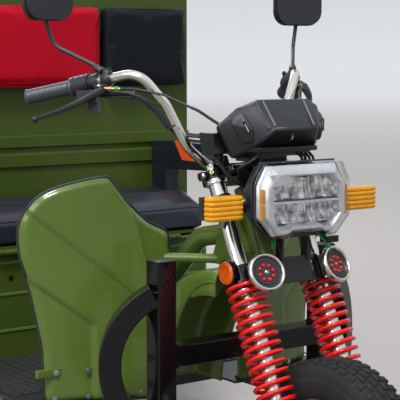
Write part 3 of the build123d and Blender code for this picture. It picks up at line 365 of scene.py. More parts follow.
def finish(name, slot, colour, rough, metal=0.0, coat=0.0, shade=0.1, patch=4.0, grain=0.05, size=600.0,
           cells=False, shine=0.4):
    """A painted, plated, moulded or covered surface with clouding and grain; on the headlight bowls the
    clouding is strong enough to be painted reflections.
    """
    material, tree, shader = new_material(name)
    link = tree.links.new
    for key, value in (("Metallic", metal), ("Specular IOR Level", shine), ("Coat Weight", coat),
                       ("Coat Roughness", COAT_ROUGHNESS)):
        shader.inputs[key].default_value = value
    where = add_node(tree, "TexCoord").outputs["Object"]
    clouds = add_node(tree, "TexNoise", {"Scale": patch, "Detail": 5})
    ramp = add_ramp(tree, clouds.outputs["Fac"], (0.3, [c * (1 - shade) for c in colour]),
                    (0.7, [min(c * (1 + shade), 1) for c in colour]))
    link(ramp.outputs["Color"], shader.inputs["Base Color"])
    smudge = add_node(tree, "TexNoise", {"Scale": patch * 6, "Detail": 4})
    spread = add_node(tree, "MapRange", {"To Min": rough * 0.75, "To Max": min(rough * 1.3, 1)})
    link(smudge.outputs["Fac"], spread.inputs["Value"])
    link(spread.outputs["Result"], shader.inputs["Roughness"])
    if cells:
        texture = add_node(tree, "TexVoronoi", {"Scale": size})
    else:
        texture = add_node(tree, "TexNoise", {"Scale": size, "Detail": 3})
    for pattern in (clouds, smudge, texture):
        link(where, pattern.inputs["Vector"])
    bump = add_node(tree, "Bump", {"Strength": grain, "Distance": GRAIN_HEIGHT})
    link(texture.outputs["Distance" if cells else "Fac"], bump.inputs["Height"])
    link(bump.outputs["Normal"], shader.inputs["Normal"])
    FINISHES[name] = (material, slot)
    return shader


def clear_plastic(name, slot, colour, rough, clear, pattern, coat):
    """Moulded see-through plastic with the lens pattern pressed inside."""
    shader = finish(name, slot, colour, rough, coat=coat, shade=0.1, patch=60, grain=pattern, size=190,
                    cells=pattern > 0)
    shader.inputs["Transmission Weight"].default_value = clear
    shader.inputs["IOR"].default_value = 1.45


# Solids whose finish differs from that of their slot; the load box's solids take the green darkened by
# painted shade
NODE_FINISHES = {"handlebar": "satin_chrome", "armrests": "blue_black_and_shade", "fork_legs": "satin_chrome",
                 **dict.fromkeys(("seat_box", "headboard", "cargo_floor", "cargo_side_left",
                                  "cargo_side_right", "tailgate", "seat_pan"), "green_box_painted_shade")}


def make_finishes(colours):
    """Every finish of the vehicle, by the record's slot or by its own name."""
    green, red = colours.body_green, colours.spring_red
    finish("green_paint", "green_paint", green, 0.26, coat=0.6, shade=0.12, patch=2.5, grain=0.04, size=260,
           shine=0.3)
    # The load box's green is the shields' green darkened: painted shade on the same paint
    finish("green_box_painted_shade", "green_paint", [c * BOX_SHADE_SHARE for c in green], 0.26, coat=0.2, shade=0.14, patch=2.5,
           grain=0.04, size=260, shine=0.2)
    finish("black_paint", "black_paint", colours.frame_black, 0.3, coat=0.6, shade=0.2, patch=6, grain=0.06,
           size=420, shine=0.1)
    # The armrests' black is bluer and lighter than the frame's: partly the paint's own colour, partly painted
    # shade and painted sky reflection
    finish("blue_black_and_shade", "black_paint", (0.011, 0.016, 0.026), 0.3, coat=0.2, shade=0.2, patch=6, grain=0.1,
           size=420)
    finish("wheel_paint", "wheel_paint", (0.36, 0.37, 0.38), 0.34, metal=0.5, patch=8, grain=0.05)
    finish("chrome", "chrome", (0.78, 0.79, 0.8), 0.07, metal=1.0, shade=0.04, patch=12, grain=0.01, size=90)
    finish("satin_chrome", "chrome", (0.72, 0.68, 0.62), 0.18, metal=1.0, shade=0.05, patch=14, grain=0.03,
           size=240)
    finish("silver", "chrome", (0.78, 0.79, 0.83), 0.24, metal=0.3, coat=0.3, shade=0.04, patch=10,
           grain=0.01)
    # The bowls' metal has a strong dark and bright colour pattern: painted reflections over the real ones
    finish("bowl_chrome_painted_reflections", "chrome", (0.56, 0.55, 0.53), 0.05, metal=1.0, shade=0.9, patch=55, grain=0.02)
    finish("steel", "steel", (0.48, 0.48, 0.47), 0.32, metal=1.0, shade=0.15, patch=20, grain=0.08, size=700)
    finish("lever_black", "steel", (0.02, 0.02, 0.022), 0.35, coat=0.2, shade=0.15, patch=20, grain=0.1,
           size=600)
    finish("spring_red", "spring_red", red, 0.28, coat=0.4, shade=0.1, patch=14, grain=0.06, size=320)
    finish("black_plastic", "black_plastic", (0.018, 0.019, 0.023), 0.4, shade=0.14, patch=10, grain=0.3,
           size=1100, shine=0.55)
    finish("black_gloss", "black_plastic", (0.008, 0.008, 0.01), 0.16, coat=0.3, shade=0.1, patch=10,
           grain=0.03)
    # A lighter grey for the painted highlights along the housing's ribs
    finish("rib_highlight_grey", "black_plastic", (0.16, 0.165, 0.18), 0.4, shade=0.1, patch=10, grain=0.3, size=1100)
    finish("rubber", "rubber", (0.02, 0.021, 0.025), 0.46, shade=0.2, patch=12, grain=0.3, size=900,
           shine=0.5)
    # The grips' rubber is lighter and bluer than the other rubber: partly its own tone, partly painted sky
    # reflection
    finish("grip", "rubber", (0.05, 0.054, 0.07), 0.34, shade=0.1, patch=12, grain=0.1, size=900, shine=0.8)
    finish("tyre", "tyre", (0.024, 0.024, 0.024), 0.78, shade=0.3, patch=9, grain=0.5, size=700, shine=0.3)
    # The bench's vinyl is a black of its own, bluer than the pads': partly the cover's colour, partly painted
    # shade and painted sky reflection
    finish("vinyl", "vinyl", (0.014, 0.018, 0.029), 0.32, shade=0.14, patch=7, grain=0.2, size=520,
           cells=True, shine=0.6)
    # The backrest's side pads have a darker black of their own: partly the cover's colour, partly painted
    # shade
    finish("vinyl_dark_and_shade", "vinyl", (0.009, 0.011, 0.014), 0.4, shade=0.14, patch=7, grain=0.3, size=520,
           cells=True, shine=0.12)
    finish("vinyl_red", "vinyl", colours.seat_red, 0.4, shade=0.08, patch=6, grain=0.3, size=520, cells=True,
           shine=0.15)
    finish("plate_white", "plate_white", (0.68, 0.68, 0.66), 0.35, coat=0.3, shade=0.05, grain=0.05)
    finish("mirror", "mirror", (0.85, 0.86, 0.88), 0.03, metal=1.0, shade=0.02, patch=5, grain=0.0)
    finish("board", "black_plastic", (0.022, 0.022, 0.022), 0.6, shade=0.25, patch=6, grain=0.4, size=500)
    finish("orange", "amber_plastic", (1.0, 0.12, 0.014), 0.3, coat=0.3, grain=0.05)
    finish("wire_green", "rubber", (0.01, 0.42, 0.09), 0.35, grain=0.05)
    finish("brass", "steel", (0.62, 0.44, 0.18), 0.28, metal=1.0, shade=0.12, patch=25)
    clear_plastic("amber_plastic", "amber_plastic", colours.amber, 0.12, 0.12, 0.5, 0.3)
    clear_plastic("deep_amber", "amber_plastic", (0.88, 0.13, 0.002), 0.16, 0.08, 0.6, 0.4)
    clear_plastic("red_plastic", "red_plastic", (0.62, 0.006, 0.008), 0.14, 0.25, 0.4, 0.5)
    clear_plastic("light_red", "red_plastic", (0.85, 0.004, 0.006), 0.1, 0.1, 0.0, 0.5)
    clear_plastic("glass", "glass", (0.98, 0.985, 1.0), 0.02, 1.0, 0.0, 0.2)
    for name, node in frame["nodes"].items():
        used = node.material_slots[0].material.name.split(".")[0]
        node.data.materials.clear()
        node.data.materials.append(FINISHES[NODE_FINISHES.get(name, used)][0])


# Widths in millimetres of the solids' rounded edges
EDGES = {"chassis_frame": 4, "load_rails": 4, "floor_bearers": 3, "seat_box": 2, "armrests": 7,
         "headboard": 2.5, "cargo_side_left": 2.5, "cargo_side_right": 2.5, "tailgate": 2, "rear_bar": 3,
         "lamp_plate": 1, "footboard": 2, "leaf_springs": 1.5, "spring_hangers": 2, "indicator_backs": 2,
         "fork_clamps": 1.2, "switch_housings": 1.5, "battery_pack": 4, "number_plate": 0.4}


def soften_solids():
    """Rounds the hard edges of the plain sheet and tube solids."""
    for name, width in EDGES.items():
        node = frame["nodes"][name]
        normals = node.data.attributes.get("custom_normal")
        if normals is not None:
            node.data.attributes.remove(normals)
        node.modifiers.new("Weld", "WELD").merge_threshold = MERGE
        node.data.shade_smooth()
        ease_edges(node, width)


# Fork: place of the springs in the steering frame and their outer radius, in millimetres
SPRING_X, SPRING_REAR, SPRING_OUTER = 104, -32, 44


def coil_turns(turns):
    """How many full turns of height a coil has climbed some turns from its closed end."""
    opened = ease(turns / 0.75)
    return opened * (turns - 0.35) + (1 - opened) * turns * 0.25


def make_springs(sizes):
    """Two coil springs whose end turns close up."""
    seat, tall, per_turn, rest = -47.0, 302.0, 26, 0.3
    wire = sizes.spring_wire / MM / 2
    radius = SPRING_OUTER - wire
    total = (tall - 5 * wire) / (sizes.spring_pitch / MM) + 1.5
    form = Form(steer)
    for side in (-1, 1):
        route = []
        for i in range(int(total * per_turn) + 1):
            turn = i / per_turn
            below, above = coil_turns(turn), coil_turns(total - turn)
            rise = wire + rest + (tall - 2 * wire - 2 * rest) * below / (below + above)
            angle = 2 * pi * turn - pi / 2
            x, rear = SPRING_X * side + radius * cos(angle), SPRING_REAR + radius * sin(angle)
            route.append((x, rear, seat - tall + rise))
        form.sweep(route, circle(wire))
    made = piece(form, "coil_springs", "steering", "spring_red", sharp=60)
    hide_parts("fork_springs")


def make_fork_parts():
    """Dust seals, silver collars, cap rings, pinch bolts and axle nuts of the fork."""
    black, bright, brass, nuts = Form(steer), Form(steer), Form(steer), Form()
    x, rear = SPRING_X, SPRING_REAR
    for _ in both_sides(black, bright, brass, nuts):
        bright.lathe([(19.7, 0), (25, 0), (25.6, 2), (25, 10), (19.7, 11)], (x, rear, 186))
        bright.lathe([(19.7, 0), (24.6, 1), (25.4, 7), (22.4, 14), (17.6, 15)], (x, rear, -64))
        black.lathe([(17.6, 0), (26, 0), (28.6, 3), (28.6, 9), (25, 13), (17.6, 16)], (x, rear, -352))
        bright.lathe([(0, 0), (13, 0), (14.4, 1.6), (14.4, 3), (0, 3)], (x, rear, 229.8), segments=32)
        black.prism(panel((x + 20, x + 42), (rear - 8, rear + 8), 4, 3), 200, 216)
        bright.bolt((x + 33, rear - 8, 208), (0, -1, 0), 5.5)
        bright.bolt((x + 33, rear + 8, 208), (0, 1, 0), 5.5)
        brass.lathe([(2, 0), (4.6, 0), (4.6, 5), (2, 5)], (x + 24, rear - 24, 208), (0.6, -0.8, 0), 20)
        black.prism(panel((x - 30, x - 10), (rear - 46, rear - 20), 4, 3), 201, 215)
        bright.bolt((x - 20, rear - 46, 208), (0, -1, 0), 5.5)
        for rise in (-34, -16):
            bright.bolt((x + 2, rear + 23, rise), (0, 1, 0), 5)
        black.lathe([(27, 0), (30, 1), (30, 7), (27, 8)], (x, rear, -372))
        bright.bolt((x, rear - 27, -430), (0, -1, 0), 4.5)
        nuts.bolt((144, FRONT_HUB.y / MM + ORIGIN_BACK, FRONT_HUB.z / MM), (1, 0, 0), 11)
    piece(black, "fork_seals", "steering", "black_paint")
    piece(bright, "fork_bolts", "steering", "chrome")
    piece(brass, "fork_cable_ends", "steering", "brass")
    piece(nuts, "axle_nuts", "steering", "steel")


# Headlight: outlines of its left half from the back rim to the bowls, in millimetres
REAR_RIM = [(104, 912), (127, 872), (127, 790), (86, 745), (58, 745), (46, 753)]
FRONT_FACE = [(97, 909), (118, 868), (118, 793), (80, 752), (52, 752), (41, 761)]
SHOULDER = [(92, 905), (114, 865), (114, 797), (78, 755), (52, 755), (42, 763)]
FACE = [(80, 889), (107, 860), (108, 797), (75, 760), (52, 760), (42, 767)]
WINDOW = [(72, 884), (95, 862), (97, 797), (72, 769), (50, 769), (40, 775)]
FUNNEL = [(66, 880), (88, 856), (90, 801), (69, 776), (50, 776), (38, 781)]
LAMP_MIDDLE = 830
BOWL_X, BOWL_HALF = 45, 44.6


def lamp_ring(half, back, inset=0.0):
    """The headlight's outline at one depth, as a closed ring of twelve points."""
    left = [(x - inset, back, z - inset if z > LAMP_MIDDLE else z + inset) for x, z in half]
    return left + [(-x, back, z) for x, _, z in reversed(left)]


def build_bowl(form, middle_x, middle_z, wide, tall):
    """A light bowl whose facets run down it in slanted waves."""
    grid = []
    columns, rows = 60, 24
    for row in range(rows + 1):
        v = 2 * row / rows - 1
        line = []
        for column in range(columns + 1):
            u = 2 * column / columns - 1
            wave = abs(sin(3.6 * pi * (u + 0.16 * v) + 0.5)) ** 0.8
            step = 0.5 * abs(sin(2.5 * pi * v + 0.8 * u))
            deep = 15 * (1 - 0.7 * u * u - 0.3 * v * v) - (2.1 * wave + step) * (1.25 - 0.6 * abs(u))
            line.append((middle_x + wide * u, -66 + deep, middle_z + tall * v * (1 - 0.1 * u * u)))
        grid.append(line)
    form.loft(grid, closed=False, capped=False)


def make_headlight():
    """Frame, clear cover, waved bowls, middle bar and amber side markers."""
    form = Form()
    form.loft([lamp_ring(REAR_RIM, -46, 8), lamp_ring(SHOULDER, -60), lamp_ring(FACE, -77),
               lamp_ring(FACE, -79, 2), lamp_ring(WINDOW, -79, -1.5), lamp_ring(WINDOW, -77.5),
               lamp_ring(FUNNEL, -60)], capped=False)
    shell = piece(form, "headlight_frame", "steering", "silver", bevel=1)
    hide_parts("headlight_bezel")

    form = Form()
    for middle_x in (-BOWL_X, BOWL_X):
        for middle_z, tall in ((855, 25), (803, 23)):
            build_bowl(form, middle_x, middle_z, BOWL_HALF, tall)
    # The bowls' chrome carries painted reflections in its colour
    bowls = piece(form, "headlight_bowls", "steering", "bowl_chrome_painted_reflections")
    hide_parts("headlight_reflector")

    form = Form()
    form.prism([p[::2] for p in lamp_ring(REAR_RIM, 0, 6)], -50, -46, "y")
    form.prism([(-94, 830.4), (-6, 831), (4, 829.5), (94, 831.5), (94, 834), (30, 833), (-94, 833.2)],
               -72, -60, "y")
    for x in (-BOWL_X, BOWL_X):
        form.block((x - 7, x + 7), (-70, -58), (828, 835))
    piece(form, "headlight_inside", "steering", "black_gloss", sharp=20)

    form = Form()
    form.prism(panel((-97, 97), (825, 830), 2, 2), -79, -68, "y")
    form.hull([(-95, -78, 888), (-52, -78, 888), (-44, -78, 879), (-60, -78, 866), (-94, -78, 862),
               (-95, -66, 888), (-52, -66, 888), (-44, -66, 877), (-58, -66, 864), (-94, -66, 860)])
    for _ in both_sides(form):
        form.hull([(97, -77, 862), (97, -77, 797), (91, -77, 858), (91, -77, 801), (88, -60, 854),
                   (88, -60, 803), (96, -60, 862), (96, -60, 797)])
    for z in (790, 806, 838, 854):
        form.hull([(x, back, z + rise) for x, back in ((80, -71), (89, -74), (89, -60), (80, -60))
                   for rise in (0, 8)])
    piece(form, "headlight_bars", "steering", "silver", bevel=0.8)

    form = Form()
    for ends in ((793, 824), (827, 858)):
        for _ in both_sides(form):
            form.hull([(x, back, z) for z in ends
                       for x, back in ((120, -66), (117.8, -72.5), (114.6, -64), (113.4, -72.5))])
    piece(form, "headlight_markers", "steering", "amber_plastic", sharp=30)

    form = Form()
    form.loft([lamp_ring(REAR_RIM, -45), lamp_ring(REAR_RIM, -58, 1), lamp_ring(FRONT_FACE, -81.5),
               lamp_ring(FRONT_FACE, -84, 2.5), lamp_ring(FRONT_FACE, -84.6, 7)], capped="end")
    cover = piece(form, "headlight_cover", "steering", "glass", sharp=25, thickness=-1.6)
    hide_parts("headlight_lens")

    form = Form()
    form.sweep(lamp_ring(REAR_RIM, -44, 0.5), circle(2.2, 8), (0, 1, 0), closed=True)
    piece(form, "headlight_gasket", "steering", "rubber", sharp=60)
    make_headlight_bracket()


def make_headlight_bracket():
    """Thin brackets beside the headlight, their bolts, the connector and the wires below."""
    plates, bolts, plug, wires = Form(), Form(), Form(), Form()
    for _ in both_sides(plates, bolts):
        plates.prism([(-30, 838), (44, 838), (64, 764), (54, 762), (30, 822), (-30, 822)], 128.2, 130, "x")
        for back in (-20, 30):
            bolts.bolt((129.6, back, 830), (1, 0, 0), 4)
    piece(plates, "lamp_brackets", "steering", "steel", bevel=0.5)
    piece(bolts, "lamp_bracket_bolts", "steering", "steel")
    plug.prism(panel((76, 114), (-54, -30), 3, 2), 727, 742)
    plug.wire([(92, -36, 740), (80, -20, 752), (62, -6, 770)], 3)
    piece(plug, "lamp_connector", "steering", "black_gloss", bevel=1)
    for shift in (0, 5):
        wires.wire([(x + shift, back, z) for x, back, z in
                    ((58, -18, 760), (66, -38, 744), (76, -50, 730), (84, -48, 714))], 2)
        wires.wire([(x - shift, back, z) for x, back, z in
                    ((-46, -14, 760), (-52, -28, 742), (-60, -40, 726))], 2)
    wires.wire([(90, -40, 728), (84, -52, 722), (88, -52, 708)], 3.4)
    piece(wires, "lamp_wires", "steering", "wire_green", sharp=60)


# Instrument housing: its left corners, and the radii and places of its wires and ties
POD_HALF = [(60, -43, 982), (68, 7, 1047), (93, 4, 1031), (150, 50, 988), (84, -5, 943), (108, 49, 915),
            (58, 112, 1014), (107, 110, 984), (113, 30, 1026), (98, 112, 946), (76, 117, 925)]
HEAD_WIRES = ((4, [(98, 118, 958), (120, 100, 936), (124, 78, 908), (98, 66, 872), (64, 60, 850)]),
              (3.2, [(296, 338, 1056), (266, 300, 1047), (228, 256, 1046), (196, 228, 1019), (165, 206, 975),
                     (131, 180, 951), (98, 118, 948)]),
              (2.6, [(300, 330, 1062), (270, 292, 1059), (231, 250, 1052), (200, 224, 1026), (170, 200, 982),
                     (136, 172, 960), (100, 110, 964)]),
              (3.4, [(158, 132, 1026), (146, 120, 1018), (124, 104, 1000), (92, 78, 974)]))
WIRE_TIES = (((226, 260, 1052), (1, 0.9, 0.3), 10), ((194, 234, 1026), (0.6, 0.5, 0.9), 10),
             ((158, 203, 983), (0.37, 0.26, 0.89), 19), ((146, 200, 968), (0.8, 0.6, 0.5), 10),
             ((112, 152, 956), (0.4, 0.9, 0.1), 10))


def make_pod():
    """Angular instrument housing with its screen, side bosses, slots, chin and wiring."""
    form = Form()
    form.hull([(side * x, back, z) for x, back, z in POD_HALF for side in (-1, 1)])
    pod = piece(form, "pod_shell", "steering", "black_plastic", bevel=6, steps=3)
    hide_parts("instrument_pod")

    # Light grey strips along one edge of each rib are painted highlights; the raised bands beside them are
    # shaped
    edge, form = Form(), Form()
    strip = rounded([(-2.6, -1), (2.6, -1), (2, 1.6), (-2, 1.6)], 0.8, 2)
    band = rounded([(-9, -4), (9, -4), (6, 1), (-6, 1)], 2, 2)
    for side, x in ((-1, 60), (1, 54)):
        form.side = edge.side = side
        edge.sweep([(x, 3, 1041.5), (x - 3, -38, 989)], strip, (0, -0.8, 0.6))
        form.sweep([(x + 13, 5, 1040), (x + 13, 3, 1039), (x + 4, -33, 985)], band)
    piece(edge, "pod_highlight_strips", "steering", "rib_highlight_grey", sharp=50)
    piece(form, "pod_bands", "steering", "black_plastic")

    face = [(123, 33, 1012), (102, 18, 1019), (92.5, -8, 981), (91, -4, 953), (106, 13, 951), (128, 26, 992)]
    out = Vector((0.68, -0.7, 0.2))
    middle = sum((Vector(p) for p in face), Vector()) / len(face)
    for side, label in ((-1, "right"), (1, "left")):
        form = Form()
        form.side = side
        form.hull([Vector(p) + out * lift for p in face for lift in (-16, 4)]
                  + [Vector(p).lerp(middle, 0.2) + out * 8 for p in face])
        piece(form, "pod_boss_" + label, "steering", "black_plastic", bevel=2.5)

    form, bright = Form(), Form()
    for _ in both_sides(form, bright):
        form.rod(Vector((107, 7, 998)) + out * 6, Vector((99, -2, 973)) + out * 6, 3.8)
        bright.rod(Vector((105.4, 5.6, 992)) + out * 9, Vector((100.2, -1, 975)) + out * 9, 1.5)
    form.rod((-4, -31, 972), (-4, -23, 958), 3.4)
    bright.rod((-4, -33.6, 967), (-4, -27.2, 957), 1.3)
    piece(form, "pod_slots", "steering", "black_gloss")
    piece(bright, "pod_slot_lights", "steering", "chrome")

    form = Form()
    chin = [(-84, -14), (-30, -24), (30, -24), (84, -14), (96, 28), (84, 98), (-84, 98), (-96, 28)]
    form.prism(rounded(chin, 8, 3), 931, 942)
    form.prism(rounded([(-70, -4), (6, -4), (12, 84), (-76, 84)], 8, 3), 908, 932)
    form.hull([(x, back, z) for x in (-148, -112)
               for back, z in ((66, 972), (118, 972), (60, 926), (108, 922))])
    piece(form, "pod_chin", "steering", "black_gloss", bevel=2.5)

    screen = local(vehicle(0, 62, 1030.5), Vector((1, 0, 0)), Vector((0, 0.293, 0.956)))
    form = Form(screen)
    form.prism(panel((-50, 50), (-34, 36), 9, 4), -2, 3.4)
    piece(form, "dash_screen", "steering", "black_gloss", bevel=1.2)
    form = Form(screen)
    form.prism(panel((-40, 40), (-22, 26), 4, 3), 3, 4.2)
    for x in (-32, -16, 0, 16, 32):
        form.lathe([(0, 4.2), (2.6, 4.2), (3, 3.4)], (x, -28, 0), segments=16)
    piece(form, "dash_glass", "steering", "mirror", bevel=0.5)
    make_wiring()


def make_wiring():
    """Wires between the housing, the bar and the headlight, with their ties."""
    wires, ties = Form(), Form()
    for _ in both_sides(wires, ties):
        for i in range(4):
            wires.wire([(70 - 8 * i, -2 + 6 * i, 924), (88 - 6 * i, 8 + 6 * i, 912),
                        (104 - 9 * i, 30 + 4 * i, 894), (84 - 9 * i, 52, 872), (60 - 9 * i, 60, 852)], 3.2)
        for radius, points in HEAD_WIRES:
            wires.wire(points, radius)
        for spot, way, inner in WIRE_TIES:
            outer = inner + 1.6
            ties.lathe([(inner, -2), (outer, -2), (outer, 2), (inner, 2), (inner, -2)], spot, way, 24)
            start = Vector(spot) + Vector((0, -inner, -2))
            ties.rod(start, start + Vector((4, -12, -5)), 1.3, 0.8, 8)
    piece(wires, "head_wires", "steering", "rubber", sharp=60)
    piece(ties, "wire_ties", "steering", "rubber")


# Small lamps: the round ones in the steering frame, and how far they turn out in degrees
RING_X, RING_Y, RING_S, RING_SPLAY = 97, -101.6, -45, 10


def make_indicators():
    """Ribbed amber lenses and the bellows of their stalks."""
    low, high = node_box("indicators")
    lens, bellows = Form(), Form()
    bottom, top, steps, ribs = low.z + 1, high.z - 1, 60, 5
    rings = []
    for step in range(steps + 1):
        share = step / steps
        swell = 2.8 * abs(sin(pi * ribs * share)) ** 0.45
        tuck = 2.5 * (2 * share - 1) ** 6
        corner = rounded([(234 + swell - tuck, -21), (231 + swell - tuck, -42 - swell),
                          (222, -45.5 - swell + tuck), (158, -45.5 - swell + tuck),
                          (149 - swell + tuck, -42 - swell), (146 - swell + tuck, -21)], 5, 3)
        rings.append([(p.x, p.y, bottom + (top - bottom) * share) for p in corner])
    start = Vector((157, -18, 820))
    way = (Vector((104, 87, 808)) - start).normalized()
    for _ in both_sides(lens, bellows):
        lens.loft(rings)
        for index in range(5):
            outer = 17 - index * 0.4
            bellows.lathe([(11, 0), (outer, 1.2), (outer, 4.4), (11, 5.6)],
                          start + way * (13 + 8.5 * index), way, 28)
    made = piece(lens, "indicator_lenses", "steering", "amber_plastic", sharp=50)
    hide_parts("indicators")
    piece(bellows, "indicator_bellows", "steering", "rubber")


def make_ring_lamps():
    """Round lamps: bright ring, dark face, small red lights and the middle screw."""
    bright, dark, lights, screws = Form(), Form(), Form(), Form()
    ring = [(34.4, 3), (34.4, 10), (35.2, 13.5), (36.8, 15.6), (38.6, 16), (41, 14.8), (42.6, 11.5), (43, 8),
            (42.4, 3), (40, 0), (36, 0)]
    face = [(0, 9), (24.8, 9), (25.6, 10.4), (27.2, 10.4), (28, 8.4), (34.8, 8), (34.8, 3), (0, 3)]
    dome = [(4.4 * cos(t), 9 + 3.4 * sin(t)) for t in (0, 0.35, 0.7, 1.05, 1.35, 1.57)]
    for side in (-1, 1):
        turn = radians(RING_SPLAY) * side
        out = Vector((sin(turn), 0, 0)) - STEER_REAR * cos(turn)
        across = Vector((cos(turn), 0, 0)) + STEER_REAR * sin(turn)
        place = local(steer(side * RING_X, RING_Y, RING_S), across, out)
        for form in (bright, dark, lights, screws):
            form.place = place
        bright.lathe(ring, segments=64)
        dark.lathe(face, segments=56)
        dots = [(16.5 * cos(radians(45 * i + 10)), 16.5 * sin(radians(45 * i + 10))) for i in range(8)]
        if side > 0:
            dots.append((0, 0))
        for x, y in dots:
            lights.lathe(dome, (x, y, 0), segments=16)
            dark.lathe([(4.4, 9), (5.2, 9.9), (5.8, 9)], (x, y, 0), segments=16)
        if side < 0:
            screws.lathe([(5.2, 9), (5, 11), (3.6, 12.2), (0, 12.6)], segments=24)
            for angle in (0.4, 0.4 + pi / 2):
                tip = Vector((cos(angle), sin(angle), 0)) * 3
                top = Vector((0, 0, 12.8))
                screws.sweep([top - tip, top + tip], square(1.0, 0.2, 1))
    made = piece(bright, "lamp_rings", "steering", "satin_chrome", sharp=50)
    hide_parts("ring_lamps")
    piece(dark, "lamp_faces", "steering", "black_plastic")
    piece(lights, "lamp_lights", "steering", "light_red", sharp=60)
    piece(screws, "lamp_screws", "steering", "steel")


def make_side_reflectors():
    """Round amber reflectors with black backs and a middle boss."""
    low, high = node_box("side_reflectors")
    middle = (138.3, (low.y + high.y) / 2, (low.z + high.z) / 2)
    lens, cups = Form(), Form()
    for _ in both_sides(lens, cups):
        lens.lathe([(0, 12.7), (5, 12.7), (6, 11.4), (7.4, 12.2), (20, 12), (21, 10.8), (22.4, 11.8),
                    (25, 10.4), (26, 8), (26, 7)], middle, (1, 0, 0), 56)
        cups.lathe([(0, 0), (25, 0), (28.4, 2), (28.4, 8.6), (26.6, 9), (26, 6)], middle, (1, 0, 0), 56)
    made = piece(lens, "reflector_lenses", "steering", "deep_amber")
    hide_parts("side_reflectors")
    piece(cups, "reflector_cups", "steering", "black_gloss")


# Front bodywork
SHIELD = [(101, 340), (388, 340), (392, 469), (417, 601), (443, 685), (447, 729), (445, 750), (441, 768),
          (426, 799), (404, 822), (371, 838), (334, 848), (297, 856), (262, 861), (251, 859), (241, 846),
          (223, 819), (203, 791), (159, 751), (111, 729), (102, 718), (100, 700)]
SHIELD_SLOPE = (395 - 300) / (448 - 150)


def shield_back(x, z, outline):
    """How far behind the fork the pressed sheet lies at a point of its outline."""
    bend = 150 + max(0, z - 560) * 0.226
    back = 300 + max(0, max(x, bend) - 150) * SHIELD_SLOPE
    back -= 3 * (1 - ease(abs(x - bend) / 9)) * ease((z - 620) / 30)
    rise = ((z - 599) * 208 - (x - 207) * 178) / sqrt(208 ** 2 + 178 ** 2)
    back -= 6 * ease(0.5 + rise / 11)
    fall = ((z - 521) * 136 - (x - 284) * 106) / sqrt(136 ** 2 + 106 ** 2)
    back += 9 * ease(0.5 - fall / 8) * ease((x - 279) / 8)
    roll = edge_distance(Vector((x, z)), outline) if x > 190 or z > 600 else 20
    return back + 8 * (1 - ease(roll / 12))


def make_shields():
    """Pressed leg shields with creases, a rolled edge, a bright lip and a rubber trim."""
    outline = rounded(SHIELD, 16, 4)
    band = panel((-5, 5), (-3.2, 3.2), 2.6, 3)
    middle = Vector((300, 640))
    rows, columns = 130, 72
    low, high = 340.2, max(p.y for p in outline) - 0.05
    grid = []
    for row in range(rows + 1):
        z = low + (high - low) * (1 - (1 - row / rows) ** 1.5)
        crossings = []
        for a, b in zip(outline, outline[1:] + outline[:1]):
            if (a.y - z) * (b.y - z) < 0:
                crossings.append(a.x + (b.x - a.x) * (z - a.y) / (b.y - a.y))
        start, end = min(crossings), max(crossings)
        across = [start + (end - start) * column / columns for column in range(columns + 1)]
        grid.append([(x, shield_back(x, z, outline), z) for x in across])
    edge = [p for p in outline if p.y > 341]
    start = max(range(len(edge)), key=lambda i: (edge[i] - edge[i - 1]).length)
    edge = edge[start:] + edge[:start]
    route = []
    for p in edge:
        shown = p + (p - middle).normalized() * 3.4 * ease((264 - p.x) / 20)
        route.append((shown.x, shield_back(p.x, p.y, outline) + 3, shown.y))
    inner = [p + (middle - p).normalized() * 4 for p in edge if p.y > 700 and p.x > 236]
    for name, side in (("left", 1), ("right", -1)):
        form, trim, lip = Form(), Form(), Form()
        form.side = trim.side = lip.side = side
        form.loft(grid, closed=False, capped=False)
        made = piece(form, "shield_" + name, "chassis", "green_paint", sharp=60, thickness=-3 * side)
        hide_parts("leg_shield_" + name)
        trim.sweep(route, band, (0, 1, 0))
        piece(trim, "shield_trim_" + name, "chassis", "rubber", sharp=60)
        lip.sweep([(p.x, shield_back(p.x, p.y, outline) - 0.4, p.y) for p in inner],
                  circle(1.7, 8), (0, 1, 0))
        piece(lip, "shield_lip_" + name, "chassis", "green_paint", sharp=60)
        make_shield_parts(side, name)


def make_shield_parts(side, name):
    """Brackets and bolts behind and below a leg shield."""
    form, bolts = Form(), Form()
    form.side = bolts.side = side
    form.block((250, 420), (372, 384), (404, 422))
    form.block((236, 262), (340, 384), (360, 424))
    for x in (300, 372):
        bolts.bolt((x, 300 + (x - 150) * SHIELD_SLOPE - 1, 413), (0.3, -0.95, 0), 5)
    for x in (120, 180, 300, 376):
        bolts.bolt((x, 300 + max(0, x - 150) * SHIELD_SLOPE - 0.5, 352), (0.2, -0.98, 0), 4.5)
    piece(form, "shield_bracket_" + name, "chassis", "green_paint", bevel=2)
    piece(bolts, "shield_bolts_" + name, "chassis", "steel")


def make_mudguard():
    """Crowned front mudguard with a rolled bead."""
    centre_back, centre_z, outer, half, steps = 140, 330, 325, 88, 44
    form, bead = Form(), Form()
    edges = []
    rings = []
    for step in range(steps + 1):
        share = step / steps
        angle = radians(90 * share)
        rim = 215 + 82 * ease((share - 0.35) / 0.65)
        section = [(half, rim), (half, outer - 60), (half, outer - 24)]
        section += [(half - 24 + 24 * cos(t), outer - 24 + 24 * sin(t)) for t in (0.4, 0.8, 1.2)]
        section += [(half - 30, outer), (30, outer)]
        section += [(-x, r) for x, r in reversed(section)]
        rings.append([(x, centre_back + r * cos(angle), centre_z + r * sin(angle)) for x, r in section])
        edges.append((half, centre_back + rim * cos(angle), centre_z + rim * sin(angle)))
    form.loft(rings, closed=False, capped=False)
    made = piece(form, "mudguard_front", "chassis", "green_paint", sharp=60, thickness=-2.5)
    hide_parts("front_mudguard")
    for _ in both_sides(bead):
        bead.sweep(edges, circle(4, 10))
    bead.sweep(rings[-1], circle(4, 10), (0, 1, 0))
    piece(bead, "mudguard_bead", "chassis", "green_paint", sharp=60)


